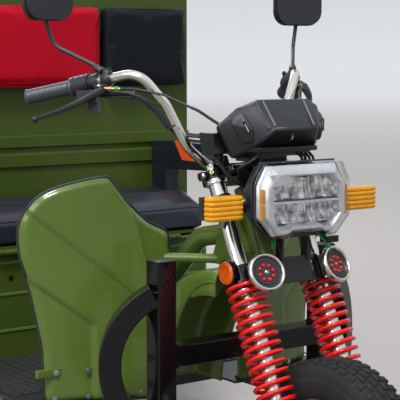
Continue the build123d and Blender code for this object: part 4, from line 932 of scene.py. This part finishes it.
def make_crash_bar():
    """Square posts with caps, cross tube, swept rings and their welds."""
    x, width, top, back = 232, 50, 692, 143
    splay, reach, span, steps = 30, 175, 64, 64
    form, caps, welds = Form(), Form(), Form()
    section = square(width, 5, 4)
    out = Vector((cos(radians(splay)), sin(radians(splay)), 0))
    rise = Vector((0, 0, 1))
    middle = Vector((x + 25, back, 459)) - out * 81
    route = []
    for step in range(steps + 1):
        angle = radians(span - 2 * span * step / steps)
        route.append(middle + (out * cos(angle) + rise * sin(angle)) * reach)
    for _ in both_sides(form, caps, welds):
        form.sweep([(x, back, 294), (x, back, top - 2.2)], section, (0, 1, 0))
        form.sweep(route, section, out.cross(rise))
        caps.sweep([(x, back, top - 3), (x, back, top - 0.6), (x, back, top)], square(width - 3, 4, 4),
                   (0, 1, 0), scales=[1, 1, 0.975])
        for z, turn in ((617, 1), (301, -1)):
            welds.sweep([(x + 25.4, back - 25 + 50 * i / 30, z + turn * (5 + 1.6 * sin(i * 1.9)))
                         for i in range(31)], circle(3.2, 8))
            welds.sweep([(x + 25.4, back - 25.4, z - turn * (48 * i / 30) + 1.2 * sin(i * 2.3))
                         for i in range(31)], circle(2.6, 8), (1, 0, 0))
        for z in (451, 501):
            welds.sweep([(x - 25.4, back - 25 + 50 * i / 30, z + 1.2 * sin(i * 2.4)) for i in range(31)],
                        circle(3, 8))
    form.sweep([(-x + 20, back, 476), (x - 20, back, 476)], section)
    made = piece(form, "guard_tubes", "chassis", "black_paint", sharp=50)
    made.modifiers.new("Shade", "WEIGHTED_NORMAL").keep_sharp = True
    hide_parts("crash_bar")
    piece(caps, "guard_caps", "chassis", "black_plastic")
    piece(welds, "guard_welds", "chassis", "black_paint", sharp=60)


# Controls
GRIP_TIP = Vector((380, 470, 1045))
GRIP_WAY = (GRIP_TIP - Vector((228, 238, 1103))).normalized()


def along_grip(distance):
    """A place on the bar, measured back from its tip."""
    return GRIP_TIP - GRIP_WAY * distance


def make_controls():
    """Grips, levers with perches, switch blocks, mirror feet and cable ends."""
    grips, levers, blocks, brass, green, bolts = (Form() for _ in range(6))
    profile = [(11.3, 0), (21, 0), (21.6, 1.5), (21.6, 5), (18, 7)]
    for step in range(24):
        profile += [(16.9, 8.4 + 4.4 * step), (16.9, 10.8 + 4.4 * step), (15.9, 11.6 + 4.4 * step)]
    profile += [(16.4, 116), (18.4, 117.4), (18.6, 121), (17, 123), (7, 123.4), (0, 122.6)]
    blade = flowing([(293, 285, 1064), (318, 301, 1049), (338, 317, 1035), (368, 352, 1016), (390, 384, 1003),
                     (399, 399, 997.5)], 10)
    count = len(blade) - 1
    scales = [1.0 - 0.5 * ease(i / count * 1.1) for i in range(count + 1)]
    ball = [(8.2 * cos(t), 8.2 * sin(t)) for t in (-1.2, -0.8, -0.4, 0, 0.4, 0.8, 1.2)]
    housing, clamp = along_grip(176), along_grip(205)
    foot = clamp + Vector((0, 0, 10))
    way = Vector((0.55, 0.66, 0.51)).normalized()
    for _ in both_sides(grips, levers, blocks, brass, green, bolts):
        grips.lathe(profile, along_grip(120), GRIP_WAY, 32)
        levers.sweep(blade, panel((-9, 9), (-9, 9), 7, 4), scales=scales)
        levers.lathe([(0.01, -8.2), *ball, (0.01, 8.2)], (401, 403, 996), (0, 0, 1), 28)

        blocks.lathe([(11.3, 0), (17, 0), (19, 2), (19, 15), (17, 17), (11.3, 17)],
                     along_grip(184), GRIP_WAY, 32)
        blocks.hull([housing + Vector(shift) for shift in
                     ((-8, -8, 6), (8, 0, 6), (-8, -8, -12), (8, 0, -12),
                      (-6, -42, -6), (16, -34, -6), (-6, -42, -20), (16, -34, -20))])
        for levels, corners in (((1034, 1062), ((280, 318), (300, 302), (330, 338), (312, 356))),
                                ((1010, 1034), ((276, 322), (292, 308), (306, 326), (292, 342)))):
            blocks.hull([(x, back, z) for x, back in corners for z in levels])
        for distance in (126, 141, 156):
            blocks.lathe([(22, 0), (23.2, 0.8), (23.2, 2.4), (22, 3.2)], along_grip(distance), GRIP_WAY, 36)
        for distance, rise, radius, tip in ((149, 26, 5, 4), (136, 25, 4.4, 3.6)):
            spot = along_grip(distance)
            blocks.rod(spot + Vector((-14, 4, 18)), spot + Vector((-18, 4, rise)), radius, tip)

        blocks.lathe([(16.6, -9), (18, -7), (18, 7), (16.6, 9)], clamp, GRIP_WAY, 32)
        blocks.lathe([(0, 0), (12, 0), (13, 3), (10.4, 8), (8, 14), (0, 15)], foot, (0.2, 0.24, 0.95), 28)
        blocks.lathe([(5.2, 0), (8.6, 2), (8.6, 16), (6.6, 22), (5.2, 24)], foot + way * 14, way, 28)
        bolts.bolt(clamp + Vector((-12, -14, 4)), (-0.6, -0.7, 0.2), 4)
        bolts.bolt((297, 293, 1071), (0.1, 0.1, 1), 5)
        bolts.bolt(housing + Vector((-12, -10, 0)), (-0.7, -0.7, 0), 4)

        brass.rod((288, 292, 1067), (262, 260, 1066), 3.6)
        brass.lathe([(3, 0), (6, 0.6), (6, 5), (3, 5.6)], (279, 281, 1066.6), (-0.63, -0.77, 0), 18)
        green.lathe([(3, 0), (5.4, 0.6), (5.4, 8), (3, 9)], (270, 270, 1066.3), (-0.63, -0.77, 0), 18)
    made = piece(grips, "grip_covers", "steering", "grip", sharp=50)
    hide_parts("grips")
    made = piece(levers, "lever_blades", "steering", "lever_black", sharp=50)
    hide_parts("brake_levers")
    piece(blocks, "switch_blocks", "steering", "black_plastic", bevel=1.2)
    piece(brass, "cable_adjusters", "steering", "brass")
    piece(green, "cable_boots", "steering", "wire_green")
    piece(bolts, "control_bolts", "steering", "steel")


# Cabin
def make_cabin():
    """Seat-box steps, floor mat, pedal pad, armrest patches and fastenings."""
    form, dark, mat, pads, patch, bolts = (Form() for _ in range(6))
    for low, high, deep in ((592, 600, 3), (508, 516, 3), (410, 418, 3), (617, 624, 6)):
        form.block((-398, 398), (850 - deep, 850.4), (low, high))
    for x in (-398, 392):
        form.block((x, x + 6), (847.4, 850.4), (418, 617))
    piece(form, "seat_box_steps", "chassis", "green_paint", bevel=1.4)
    mat.prism(panel((-424, 424), (560, 842), 14, 4), 340, 342.5)
    for index in range(34):
        x = -412 + index * 25
        mat.prism(panel((x - 5, x + 5), (572, 830), 4, 2), 342, 345)
    pads.prism(panel((-214, -126), (534, 570), 6, 3), 433.6, 437)
    for index in range(6):
        x = -205 + index * 14
        pads.block((x, x + 5), (537, 567), (436.6, 439))
    for _ in both_sides(dark, mat, patch, bolts):
        # Black discs on the seat box's face stand for holes: painted shade where their insides would be
        dark.lathe([(0, 0), (6, 0), (7, 1), (7, 1.6), (0, 1.6)], (240, 850, 554), (0, -1, 0), 24)
        dark.lathe([(0, 0), (5, 0), (6, 1), (0, 1.4)], (360, 850, 470), (0, -1, 0), 20)
        mat.prism(panel((112, 424), (480, 556), 12, 3), 340, 342.5)
        for index in range(12):
            x = 126 + index * 25
            mat.prism(panel((x - 5, x + 5), (488, 548), 4, 2), 342, 345)
        patch.prism([(1025, 886.6), (962, 885), (896, 830), (983, 830)], 405.2, 452.8, "x")
        for back, z in ((1098, 600), (1124, 600), (1098, 572), (1124, 572)):
            bolts.bolt((452, back, z), (1, 0, 0), 5)
    piece(dark, "seat_box_hole_shades", "chassis", "black_gloss")
    piece(mat, "floor_mat", "chassis", "board")
    piece(pads, "pedal_pad", "chassis", "rubber", bevel=0.6)
    piece(patch, "armrest_patches", "chassis", "orange", bevel=1.6)
    piece(bolts, "cabin_bolts", "chassis", "steel")


# Rear end
def make_drive():
    """Motor fins and cover, spring clamps, spring eyes and their bolts."""
    hub = REAR_HUBS["left"]
    back, z = hub.y / MM + ORIGIN_BACK, hub.z / MM
    fins, clamps, bolts = Form(), Form(), Form()
    for index in range(15):
        fins.lathe([(80, 0), (90, 0.6), (90, 4.4), (80, 5)], (0, back - 288 + index * 13, z), (0, 1, 0), 56)
    fins.lathe([(0, 0), (66, 0), (74, 5), (82.6, 7), (82.6, 14)], (0, back - 307, z), (0, 1, 0), 56)
    fins.prism(panel((-34, 34), (back - 270, back - 170), 8, 3), z + 78, z + 104)
    for _ in both_sides(fins, clamps, bolts):
        fins.lathe([(50, 0), (66, 1), (66, 6), (50, 8)], (66, back, z), (1, 0, 0), 48)
        for x in (268, 332):
            clamps.wire([(x, back - 37, z + 74), (x, back - 37, z), (x, back - 24, z - 32), (x, back, z - 40),
                         (x, back + 24, z - 32), (x, back + 37, z), (x, back + 37, z + 74)], 5.5, 12)
            for reach in (-37, 37):
                bolts.bolt((x, back + reach, z + 79), (0, 0, 1), 8)
        clamps.prism(panel((258, 342), (back - 50, back + 50), 8, 3), z + 70.4, z + 79)
        for reach in (-440, 440):
            clamps.lathe([(7, -27), (14, -27), (14, 27), (7, 27), (7, -27)], (300, back + reach, 398),
                         (1, 0, 0), 28)
            bolts.bolt((322, back + reach, 398), (1, 0, 0), 9)
            bolts.bolt((278, back + reach, 398), (-1, 0, 0), 9)
        for reach in (-200, 200):
            clamps.block((271, 329), (back + reach - 8, back + reach + 8), (305, 345))
        for index in range(6):
            turn = index * pi / 3
            bolts.bolt((74, back + 57 * cos(turn), z + 57 * sin(turn)), (1, 0, 0), 5)
    for index in range(8):
        turn = index * pi / 4 + 0.3
        bolts.bolt((70 * cos(turn), back - 303, z + 70 * sin(turn)), (0, -1, 0), 4.5)
    piece(fins, "motor_fins", "chassis", "wheel_paint", bevel=0.8)
    piece(clamps, "spring_clamps", "chassis", "black_paint", bevel=0.8)
    piece(bolts, "drive_bolts", "chassis", "steel")


def make_load_box():
    """Floor ribs, gate seal, tie hooks, rivets, tail lamps, plate screws and gate latches."""
    floor, seal, hooks, bolts, latches = (Form() for _ in range(5))
    for index in range(19):
        x = -459 + index * 51
        floor.prism(panel((x - 9, x + 9), (1190, 2626), 6, 2), 583.6, 587)
    # The ribs take the load box's green, darkened by painted shade
    piece(floor, "load_floor_ribs", "chassis", "green_box_painted_shade", bevel=1)
    seal.prism([(2626, 583.6), (2641, 583.6), (2641, 602), (2637, 602), (2636, 590), (2626, 588)],
               -508, 508, "x")
    piece(seal, "gate_seal", "chassis", "rubber", bevel=0.8)
    for _ in both_sides(hooks, bolts):
        for index in range(4):
            middle = 1371 + index * 358
            hooks.wire([(523, middle - 22, 690), (538, middle - 20, 684), (542, middle, 670),
                        (538, middle + 20, 684), (523, middle + 22, 690)], 4, 10)
            for z in (625, 760, 865):
                bolts.lathe([(0, 0), (6, 0), (5, 2), (0, 3)], (524, middle - 120, z), (1, 0, 0), 16)
    piece(hooks, "tie_hooks", "chassis", "black_paint", sharp=50)
    for _ in both_sides(bolts, latches):
        for z in (498, 400):
            bolts.bolt((82, 2634, z), (0, 1, 0), 4.5)
        for x in (440, 490):
            bolts.bolt((x, 2632, 470), (0, 1, 0), 4)
        latches.prism(panel((440, 536), (792, 852), 8, 3), 2667.5, 2671, "y")
        latches.rod((462, 2670, 822), (462, 2677, 822), 9)
        latches.sweep([(458, 2677.4, 822), (490, 2677.4, 822), (528, 2677.4, 814)], square(7, 2, 2),
                      (0, 1, 0))
    piece(bolts, "load_box_bolts", "chassis", "steel")
    make_tail_lamps()
    piece(latches, "gate_latches", "tailgate", "black_paint", bevel=1.2)


def make_tail_lamps():
    """Ribbed red, amber and clear lenses in black cases, and the plate's lamp."""
    low, high = node_box("tail_lamps")
    red, amber, clear, case = Form(), Form(), Form(), Form()
    ribs, steps = 8, 48
    for _ in both_sides(red, amber, clear, case):
        for form, start, end in ((red, 462, 508), (amber, 432, 460), (clear, 404, 430)):
            rings = []
            for step in range(steps + 1):
                z = low.z + 5 + (high.z - low.z - 10) * step / steps
                swell = 1.4 * abs(sin(pi * ribs * step / steps)) ** 0.7
                edge = rounded([(start, low.y + 4), (start, high.y - 3.4 + swell),
                                (end, high.y - 3.4 + swell), (end, low.y + 4)], 3, 2)
                rings.append([(p.x, p.y, z) for p in edge])
            form.loft(rings)
        case.prism(panel((400.5, 511.5), (low.z + 0.5, high.z - 0.5), 6, 3), low.y, low.y + 12, "y")
    case.prism(panel((-34, 34), (514, 530), 5, 3), low.y, low.y + 26, "y")
    made = piece(red, "tail_lamp_red", "chassis", "red_plastic")
    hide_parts("tail_lamps")
    piece(amber, "tail_lamp_amber", "chassis", "amber_plastic")
    piece(clear, "tail_lamp_clear", "chassis", "glass")
    piece(case, "tail_lamp_cases", "chassis", "black_plastic", bevel=1)


# Seat and pads: the covers' mesh size and largest swell in millimetres, their pressure and simulated frames
VOXEL, SWELL = 6, 9
PRESSURE, FRAMES = 4, 20


def plumped(form, name, body, cover):
    """A stuffed cover: the form is remeshed, blown up by cloth simulation and eased."""
    made = shaped(form, name)
    remesh = made.modifiers.new("Even", "REMESH")
    remesh.mode = "VOXEL"
    remesh.voxel_size = VOXEL * MM
    settle(made)
    rest = [v.co.copy() for v in made.data.vertices]
    cloth = made.modifiers.new("Cover", "CLOTH")
    cloth.settings.use_pressure = True
    cloth.settings.uniform_pressure_force = PRESSURE
    cloth.settings.effector_weights.gravity = 0
    cloth.point_cache.frame_start = 1
    cloth.point_cache.frame_end = FRAMES
    for number in range(1, FRAMES + 1):
        bpy.context.scene.frame_set(number)
    settle(made)
    bpy.context.scene.frame_set(1)
    for vertex, start in zip(made.data.vertices, rest):
        move = vertex.co - start
        if move.length > SWELL * MM:
            vertex.co = start + move.normalized() * SWELL * MM
    smooth = made.modifiers.new("Smooth", "SUBSURF")
    smooth.levels = smooth.render_levels = 1
    made.data.shade_smooth()
    return fitted(made, body, cover)


def settle(made):
    """Applies what an object's modifiers make of it."""
    graph = bpy.context.evaluated_depsgraph_get()
    result = bpy.data.meshes.new_from_object(made.evaluated_get(graph))
    made.modifiers.clear()
    made.data = result


def seam_on(made, route, name, body, cover, radius):
    """A piping cord laid on the nearest surface along a route."""
    tree = BVHTree.FromObject(made, bpy.context.evaluated_depsgraph_get())
    shift = Vector((0, ORIGIN_BACK, 0))
    landed = [tree.find_nearest(vehicle(*p))[0] / MM + shift for p in route]
    for _ in range(3):
        eased = [(a + b * 2 + c) / 4 for a, b, c in zip(landed, landed[1:], landed[2:])]
        landed = [landed[0], *eased, landed[-1]]
    form = Form()
    form.sweep(landed, circle(radius, 8))
    piece(form, name, body, cover, sharp=60)


def make_seat():
    """Bench cushion with its piping."""
    low, high = node_box("seat_cushion")
    inset = 7
    side = [(low.y + inset, low.z + 4), (high.y - inset, low.z + 4), (high.y - inset, high.z - 26),
            (high.y - 26, high.z - 8), (low.y + 92, high.z - 8), (low.y + 18, high.z - 38),
            (low.y + inset, high.z - 50)]
    form = Form()
    form.prism(side, low.x + inset, high.x - inset, "x")
    cushion = plumped(form, "bench_cushion", "seat", "vinyl")
    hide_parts("seat_cushion")
    across = [low.x + 14 + (high.x - low.x - 28) * i / 60 for i in range(61)]
    seam_on(cushion, [(x, low.y + 10, high.z - 34) for x in across], "bench_piping_front", "seat", "vinyl", 3)
    seam_on(cushion, [(x, low.y + 92, high.z - 2) for x in across], "bench_piping_top", "seat", "vinyl", 2.4)


def make_backrest():
    """Red middle pad and black side pads."""
    low, high = node_box("backrest_pads")
    # The side pads' darker vinyl is partly painted shade
    for name, start, end, cover in (("middle", -218, 218, "vinyl_red"), ("left", 212, 527, "vinyl_dark_and_shade"),
                                    ("right", -527, -212, "vinyl_dark_and_shade")):
        form = Form()
        form.prism(panel((start + 6, end - 6), (low.z - 2, high.z - 6), 22, 4), low.y + 12, high.y - 2, "y")
        pad = plumped(form, "backrest_" + name, "chassis", cover)
        edge = panel((start + 3, end - 3), (low.z - 5, high.z - 3), 24, 8)
        route = [(p.x, low.y + 18, p.y) for p in edge]
        seam_on(pad, route + route[:1], "backrest_piping_" + name, "chassis", cover, 2.8)
    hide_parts("backrest_pads")


# Wheels: outer radius of the tyres in millimetres
TYRE_OUTER = 250


def about_hub(hub):
    """A place function in millimetres from a wheel's hub."""
    return lambda x, y, z: hub + Vector((x, y, z)) * MM


def make_wheels(sizes):
    """Tyres with tread blocks and sidewall rings."""
    hubs = {"front": ("front_wheel", FRONT_HUB, "front_tyre")}
    for side in ("left", "right"):
        hubs["rear_" + side] = ("rear_wheel_" + side, REAR_HUBS[side], "rear_tyre_" + side)
    base = TYRE_OUTER - sizes.tread_depth / MM
    pitches = 54
    pitch = 2 * pi / pitches
    wall = [(38, 152.5), (38, 168), (41, 172), (46.5, 186), (48.6, 204), (48.6, 212), (47.6, 214),
            (48.2, 218), (46.5, 230), (43, 238), (36, base - 1), (20, base), (0, base + 0.5)]
    profile = [(r, x) for x, r in wall] + [(r, -x) for x, r in reversed(wall[:-1])]
    for name, (body, hub, node) in hubs.items():
        form = Form(about_hub(hub))
        form.lathe(profile + profile[:1], axis=(1, 0, 0), segments=96)
        for index in range(pitches):
            for x, width, shift, long in ((0, 9, 0.0, 0.72), (-17, 10, 0.4, 0.66), (17, 10, 0.6, 0.66),
                                          (-35, 13, 0.15, 0.55), (35, 13, 0.85, 0.55)):
                tread_block(form, x, width, (index + shift) * pitch, long * pitch, base - 2.5)
        made = piece(form, "tyre_" + name, body, "tyre", sharp=35)
        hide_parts(node)


def tread_block(form, x, width, turn, long, low):
    """One tread block on the crown."""
    top = TYRE_OUTER - abs(x) * 0.09 - 0.3
    skew = 0.012 if x > 0 else -0.012
    rings = []
    for radius, grow in ((low - abs(x) * 0.14, 0.5), (top - 1, 0.0), (top, -0.8)):
        half = width / 2 + grow
        stretch = grow / TYRE_OUTER
        ring = []
        for side, end in ((-1, 0), (1, 0), (1, 1), (-1, 1)):
            angle = turn + (long + stretch if end else -stretch) + skew * side
            ring.append((x + side * half, radius * cos(angle), radius * sin(angle)))
        rings.append(ring)
    form.loft(rings)


def make_wheel_parts():
    """Wheel nuts, hub seals and valves."""
    for name, body, hub, outer, nuts in (("front", "front_wheel", FRONT_HUB, (-1, 1), 6),
                                         ("rear_left", "rear_wheel_left", REAR_HUBS["left"], (1,), 5),
                                         ("rear_right", "rear_wheel_right", REAR_HUBS["right"], (-1,), 5)):
        bolts, black = Form(about_hub(hub)), Form(about_hub(hub))
        for side in outer:
            bolts.side = black.side = side
            for index in range(nuts):
                turn = index * 2 * pi / nuts
                bolts.bolt((50, 38 * cos(turn), 38 * sin(turn)), (1, 0, 0), 6.5)
            black.lathe([(24, 0), (28, 0), (29, 2), (27, 4), (24, 4)], (50, 0, 0), (1, 0, 0), 36)
            black.lathe([(3.2, 0), (3.2, 22), (4.4, 23), (4.4, 32), (0, 34)],
                        (22, 0, 141), (0.75, 0, -0.66), 14)
        piece(bolts, "wheel_nuts_" + name, body, "steel")
        piece(black, "valve_and_seal_" + name, body, "rubber")


# Stage
def make_floor():
    """Pale floor with faint clouds that fades into the distance."""
    mesh = bmesh.new()
    bmesh.ops.create_grid(mesh, x_segments=1, y_segments=1, size=120)
    data = bpy.data.meshes.new("floor")
    mesh.to_mesh(data)
    mesh.free()
    ground = add_object("floor", data)
    ground.location.z = -0.001
    material, tree, shader = new_material("floor")
    data.materials.append(material)
    link = tree.links.new
    shader.inputs["Roughness"].default_value = 0.9
    shader.inputs["Specular IOR Level"].default_value = 0.1
    speck = add_node(tree, "TexNoise", {"Scale": 0.5, "Detail": 4})
    ramp = add_ramp(tree, speck.outputs["Fac"], (0.35, (0.43, 0.4, 0.385)), (0.65, (0.6, 0.575, 0.56)))
    away = add_node(tree, "VectorMath", operation="DISTANCE")
    link(add_node(tree, "TexCoord").outputs["Object"], away.inputs[0])
    reach = add_node(tree, "MapRange", {"From Min": 9, "From Max": 38})
    link(away.outputs["Value"], reach.inputs["Value"])
    fade = add_node(tree, "Mix", data_type="RGBA")
    fade.inputs["B"].default_value = (0.74, 0.74, 0.745, 1)
    link(reach.outputs["Result"], fade.inputs["Factor"])
    link(ramp.outputs["Color"], fade.inputs["A"])
    seen = add_node(tree, "Mix", data_type="RGBA")
    seen.inputs["A"].default_value = (0.3, 0.285, 0.27, 1)
    link(seen_rays(tree, "Is Transmission Ray"), seen.inputs["Factor"])
    link(fade.outputs["Result"], seen.inputs["B"])
    link(seen.outputs["Result"], shader.inputs["Base Color"])


def seen_rays(tree, *others):
    """One for the camera's rays and for the other kinds named, and zero for the rest."""
    rays = add_node(tree, "LightPath")
    total = rays.outputs["Is Camera Ray"]
    for name in others:
        most = add_node(tree, "Math", operation="MAXIMUM")
        tree.links.new(total, most.inputs[0])
        tree.links.new(rays.outputs[name], most.inputs[1])
        total = most.outputs[0]
    return total


def make_surroundings():
    """A pale sky that darkens to the horizon for reflections and lights the vehicle softly."""
    world = bpy.data.worlds.new("surroundings")
    bpy.context.scene.world = world
    world.use_nodes = True
    tree = world.node_tree
    tree.nodes.clear()
    link = tree.links.new
    output = add_node(tree, "OutputWorld")
    mix = add_node(tree, "MixShader")
    lit = add_node(tree, "Background", {"Color": (0.88, 0.94, 1.0, 1), "Strength": 0.5})
    seen = add_node(tree, "Background")
    split = add_node(tree, "SeparateXYZ")
    link(add_node(tree, "TexCoord").outputs["Generated"], split.inputs["Vector"])
    sky = add_ramp(tree, split.outputs["Z"], (0.0, (0.74, 0.77, 0.8)), (0.6, (0.88, 0.94, 1.0)))
    sky.color_ramp.elements.new(0.15).color = (0.54, 0.56, 0.6, 1)
    link(sky.outputs["Color"], seen.inputs["Color"])
    link(seen_rays(tree, "Is Glossy Ray", "Is Transmission Ray"), mix.inputs[0])
    link(lit.outputs[0], mix.inputs[1])
    link(seen.outputs[0], mix.inputs[2])
    link(mix.outputs[0], output.inputs[0])


def make_lamps():
    """A soft sun, a lamp at the side and one behind, all aimed at the vehicle."""
    for name, kind, place, size, power in (("sun", "SUN", (-3.6, -4.4, 8.5), 0.22, 2.1),
                                           ("side", "AREA", (-4.4, -2.6, 3.0), 2.4, 70),
                                           ("rear", "AREA", (1.5, 5.0, 4.6), 3.0, 90)):
        light = bpy.data.lights.new(name, kind)
        setattr(light, "angle" if kind == "SUN" else "size", size)
        light.energy = power
        aim = Vector((0, -0.6, 0.6)) - Vector(place)
        turn = aim.to_track_quat("-Z", "Y").to_matrix().to_4x4()
        add_object(name, light).matrix_world = Matrix.Translation(place) @ turn


def make_camera():
    """The photograph's camera."""
    yaw, pitch = radians(CAMERA_YAW), radians(CAMERA_PITCH)
    across = Vector((cos(yaw), -sin(yaw), 0))
    forward = Vector((sin(yaw) * cos(pitch), cos(yaw) * cos(pitch), -sin(pitch)))
    data = bpy.data.cameras.new("camera")
    data.lens = CAMERA_LENS
    data.sensor_width = 36
    data.sensor_fit = "HORIZONTAL"
    camera = add_object("camera", data)
    turn = Matrix((across, across.cross(forward), -forward)).transposed().to_4x4()
    camera.matrix_world = Matrix.Translation(vehicle(*CAMERA_PLACE)) @ turn
    bpy.context.scene.camera = camera


def make_stage():
    """Pale floor, pale surroundings, soft lamps and the photograph's camera."""
    make_floor()
    make_surroundings()
    make_lamps()
    make_camera()
    bpy.context.scene.view_settings.view_transform = "Standard"


# Settings
class TricycleColours(PropertyGroup):
    """Colours that an owner may choose"""
    body_green: FloatVectorProperty(name="Body green", description="Paint of the sheet metal",
                                    subtype="COLOR", size=3, min=0, max=1, default=(0.105, 0.17, 0.026))
    frame_black: FloatVectorProperty(name="Frame black", description="Powder coat of the tubes",
                                     subtype="COLOR", size=3, min=0, max=1, default=(0.0045, 0.0035, 0.0045))
    spring_red: FloatVectorProperty(name="Spring red", description="Paint of the coil springs",
                                    subtype="COLOR", size=3, min=0, max=1, default=(0.82, 0.006, 0.006))
    amber: FloatVectorProperty(name="Amber", description="Plastic of indicators and reflectors",
                               subtype="COLOR", size=3, min=0, max=1, default=(1.0, 0.4, 0.0))
    seat_red: FloatVectorProperty(name="Backrest red", description="Vinyl of the middle pad", subtype="COLOR",
                                  size=3, min=0, max=1, default=(0.52, 0.002, 0.016))


class TricycleSizes(PropertyGroup):
    """Sizes of the fine pieces"""
    spring_wire: FloatProperty(name="Spring wire", description="Thickness of the spring wire", unit="LENGTH",
                               default=0.0095)
    spring_pitch: FloatProperty(name="Spring pitch", description="Rise of one turn", unit="LENGTH",
                                default=0.0205)
    tread_depth: FloatProperty(name="Tread depth", description="Depth of the tyre grooves", unit="LENGTH",
                               default=0.007)


# Operators
class TRICYCLE_OT_stage(Operator):
    """Floor, lamps, surroundings and camera"""
    bl_idname = "tricycle.stage"
    bl_label = "Stage"

    def execute(self, context):
        make_stage()
        return {"FINISHED"}


class TRICYCLE_OT_finishes(Operator):
    """Paint, plating, plastics, rubber and vinyl, given to every solid, and softened edges"""
    bl_idname = "tricycle.finishes"
    bl_label = "Finishes"

    def execute(self, context):
        make_finishes(context.scene.tricycle_colours)
        soften_solids()
        return {"FINISHED"}


class TRICYCLE_OT_fork(Operator):
    """Coil springs and fittings of the fork"""
    bl_idname = "tricycle.fork"
    bl_label = "Fork"

    def execute(self, context):
        make_springs(context.scene.tricycle_sizes)
        make_fork_parts()
        return {"FINISHED"}


class TRICYCLE_OT_headlight(Operator):
    """Headlight frame, bowls, bar and clear cover"""
    bl_idname = "tricycle.headlight"
    bl_label = "Headlight"

    def execute(self, context):
        make_headlight()
        return {"FINISHED"}


class TRICYCLE_OT_pod(Operator):
    """Instrument housing"""
    bl_idname = "tricycle.pod"
    bl_label = "Instrument housing"

    def execute(self, context):
        make_pod()
        return {"FINISHED"}


class TRICYCLE_OT_lamps(Operator):
    """Indicators, round lamps and side reflectors"""
    bl_idname = "tricycle.lamps"
    bl_label = "Small lamps"

    def execute(self, context):
        make_indicators()
        make_ring_lamps()
        make_side_reflectors()
        return {"FINISHED"}


class TRICYCLE_OT_controls(Operator):
    """Grips, levers, switch blocks and mirror feet"""
    bl_idname = "tricycle.controls"
    bl_label = "Controls"

    def execute(self, context):
        make_controls()
        return {"FINISHED"}


class TRICYCLE_OT_bodywork(Operator):
    """Leg shields, front mudguard and crash bar"""
    bl_idname = "tricycle.bodywork"
    bl_label = "Front bodywork"

    def execute(self, context):
        make_shields()
        make_mudguard()
        make_crash_bar()
        return {"FINISHED"}


class TRICYCLE_OT_cabin(Operator):
    """Seat box, floor mat, pedal pad, armrest patches and fastenings"""
    bl_idname = "tricycle.cabin"
    bl_label = "Cabin"

    def execute(self, context):
        make_cabin()
        return {"FINISHED"}


class TRICYCLE_OT_seat(Operator):
    """Bench cushion and backrest pads"""
    bl_idname = "tricycle.seat"
    bl_label = "Seat and pads"

    def execute(self, context):
        make_seat()
        make_backrest()
        return {"FINISHED"}


class TRICYCLE_OT_wheels(Operator):
    """Tyres with their tread, wheel nuts and valves"""
    bl_idname = "tricycle.wheels"
    bl_label = "Wheels"

    def execute(self, context):
        make_wheels(context.scene.tricycle_sizes)
        make_wheel_parts()
        return {"FINISHED"}


class TRICYCLE_OT_rear(Operator):
    """Motor, springs, load box and tail lamps"""
    bl_idname = "tricycle.rear"
    bl_label = "Rear end"

    def execute(self, context):
        make_drive()
        make_load_box()
        return {"FINISHED"}


OPERATORS = (TRICYCLE_OT_stage, TRICYCLE_OT_finishes, TRICYCLE_OT_fork, TRICYCLE_OT_headlight,
             TRICYCLE_OT_pod, TRICYCLE_OT_lamps, TRICYCLE_OT_controls, TRICYCLE_OT_bodywork,
             TRICYCLE_OT_cabin, TRICYCLE_OT_seat, TRICYCLE_OT_wheels, TRICYCLE_OT_rear)


# Panel and run
class TRICYCLE_PT_parts(Panel):
    """Lists what can be set and made"""
    bl_idname = "TRICYCLE_PT_parts"
    bl_label = "Electric Cargo Tricycle"
    bl_space_type = "VIEW_3D"
    bl_region_type = "UI"
    bl_category = "Tricycle"

    def draw(self, context):
        for group in (context.scene.tricycle_colours, context.scene.tricycle_sizes):
            for name in group.__annotations__:
                self.layout.prop(group, name)
        for operator in OPERATORS:
            self.layout.operator(operator.bl_idname)


CLASSES = (TricycleColours, TricycleSizes, *OPERATORS, TRICYCLE_PT_parts)


def register():
    """Adds the classes and the settings."""
    for entry in CLASSES:
        bpy.utils.register_class(entry)
    bpy.types.Scene.tricycle_colours = PointerProperty(type=TricycleColours)
    bpy.types.Scene.tricycle_sizes = PointerProperty(type=TricycleSizes)


def unregister():
    """Takes the classes and the settings out again."""
    del bpy.types.Scene.tricycle_sizes
    del bpy.types.Scene.tricycle_colours
    for entry in reversed(CLASSES):
        bpy.utils.unregister_class(entry)


def main():
    """Makes every piece in order."""
    register()
    for operator in OPERATORS:
        group, name = operator.bl_idname.split(".")
        if getattr(getattr(bpy.ops, group), name)() != {"FINISHED"}:
            raise RuntimeError(operator.bl_label + " could not be made")


if __name__ == "__main__":
    main()
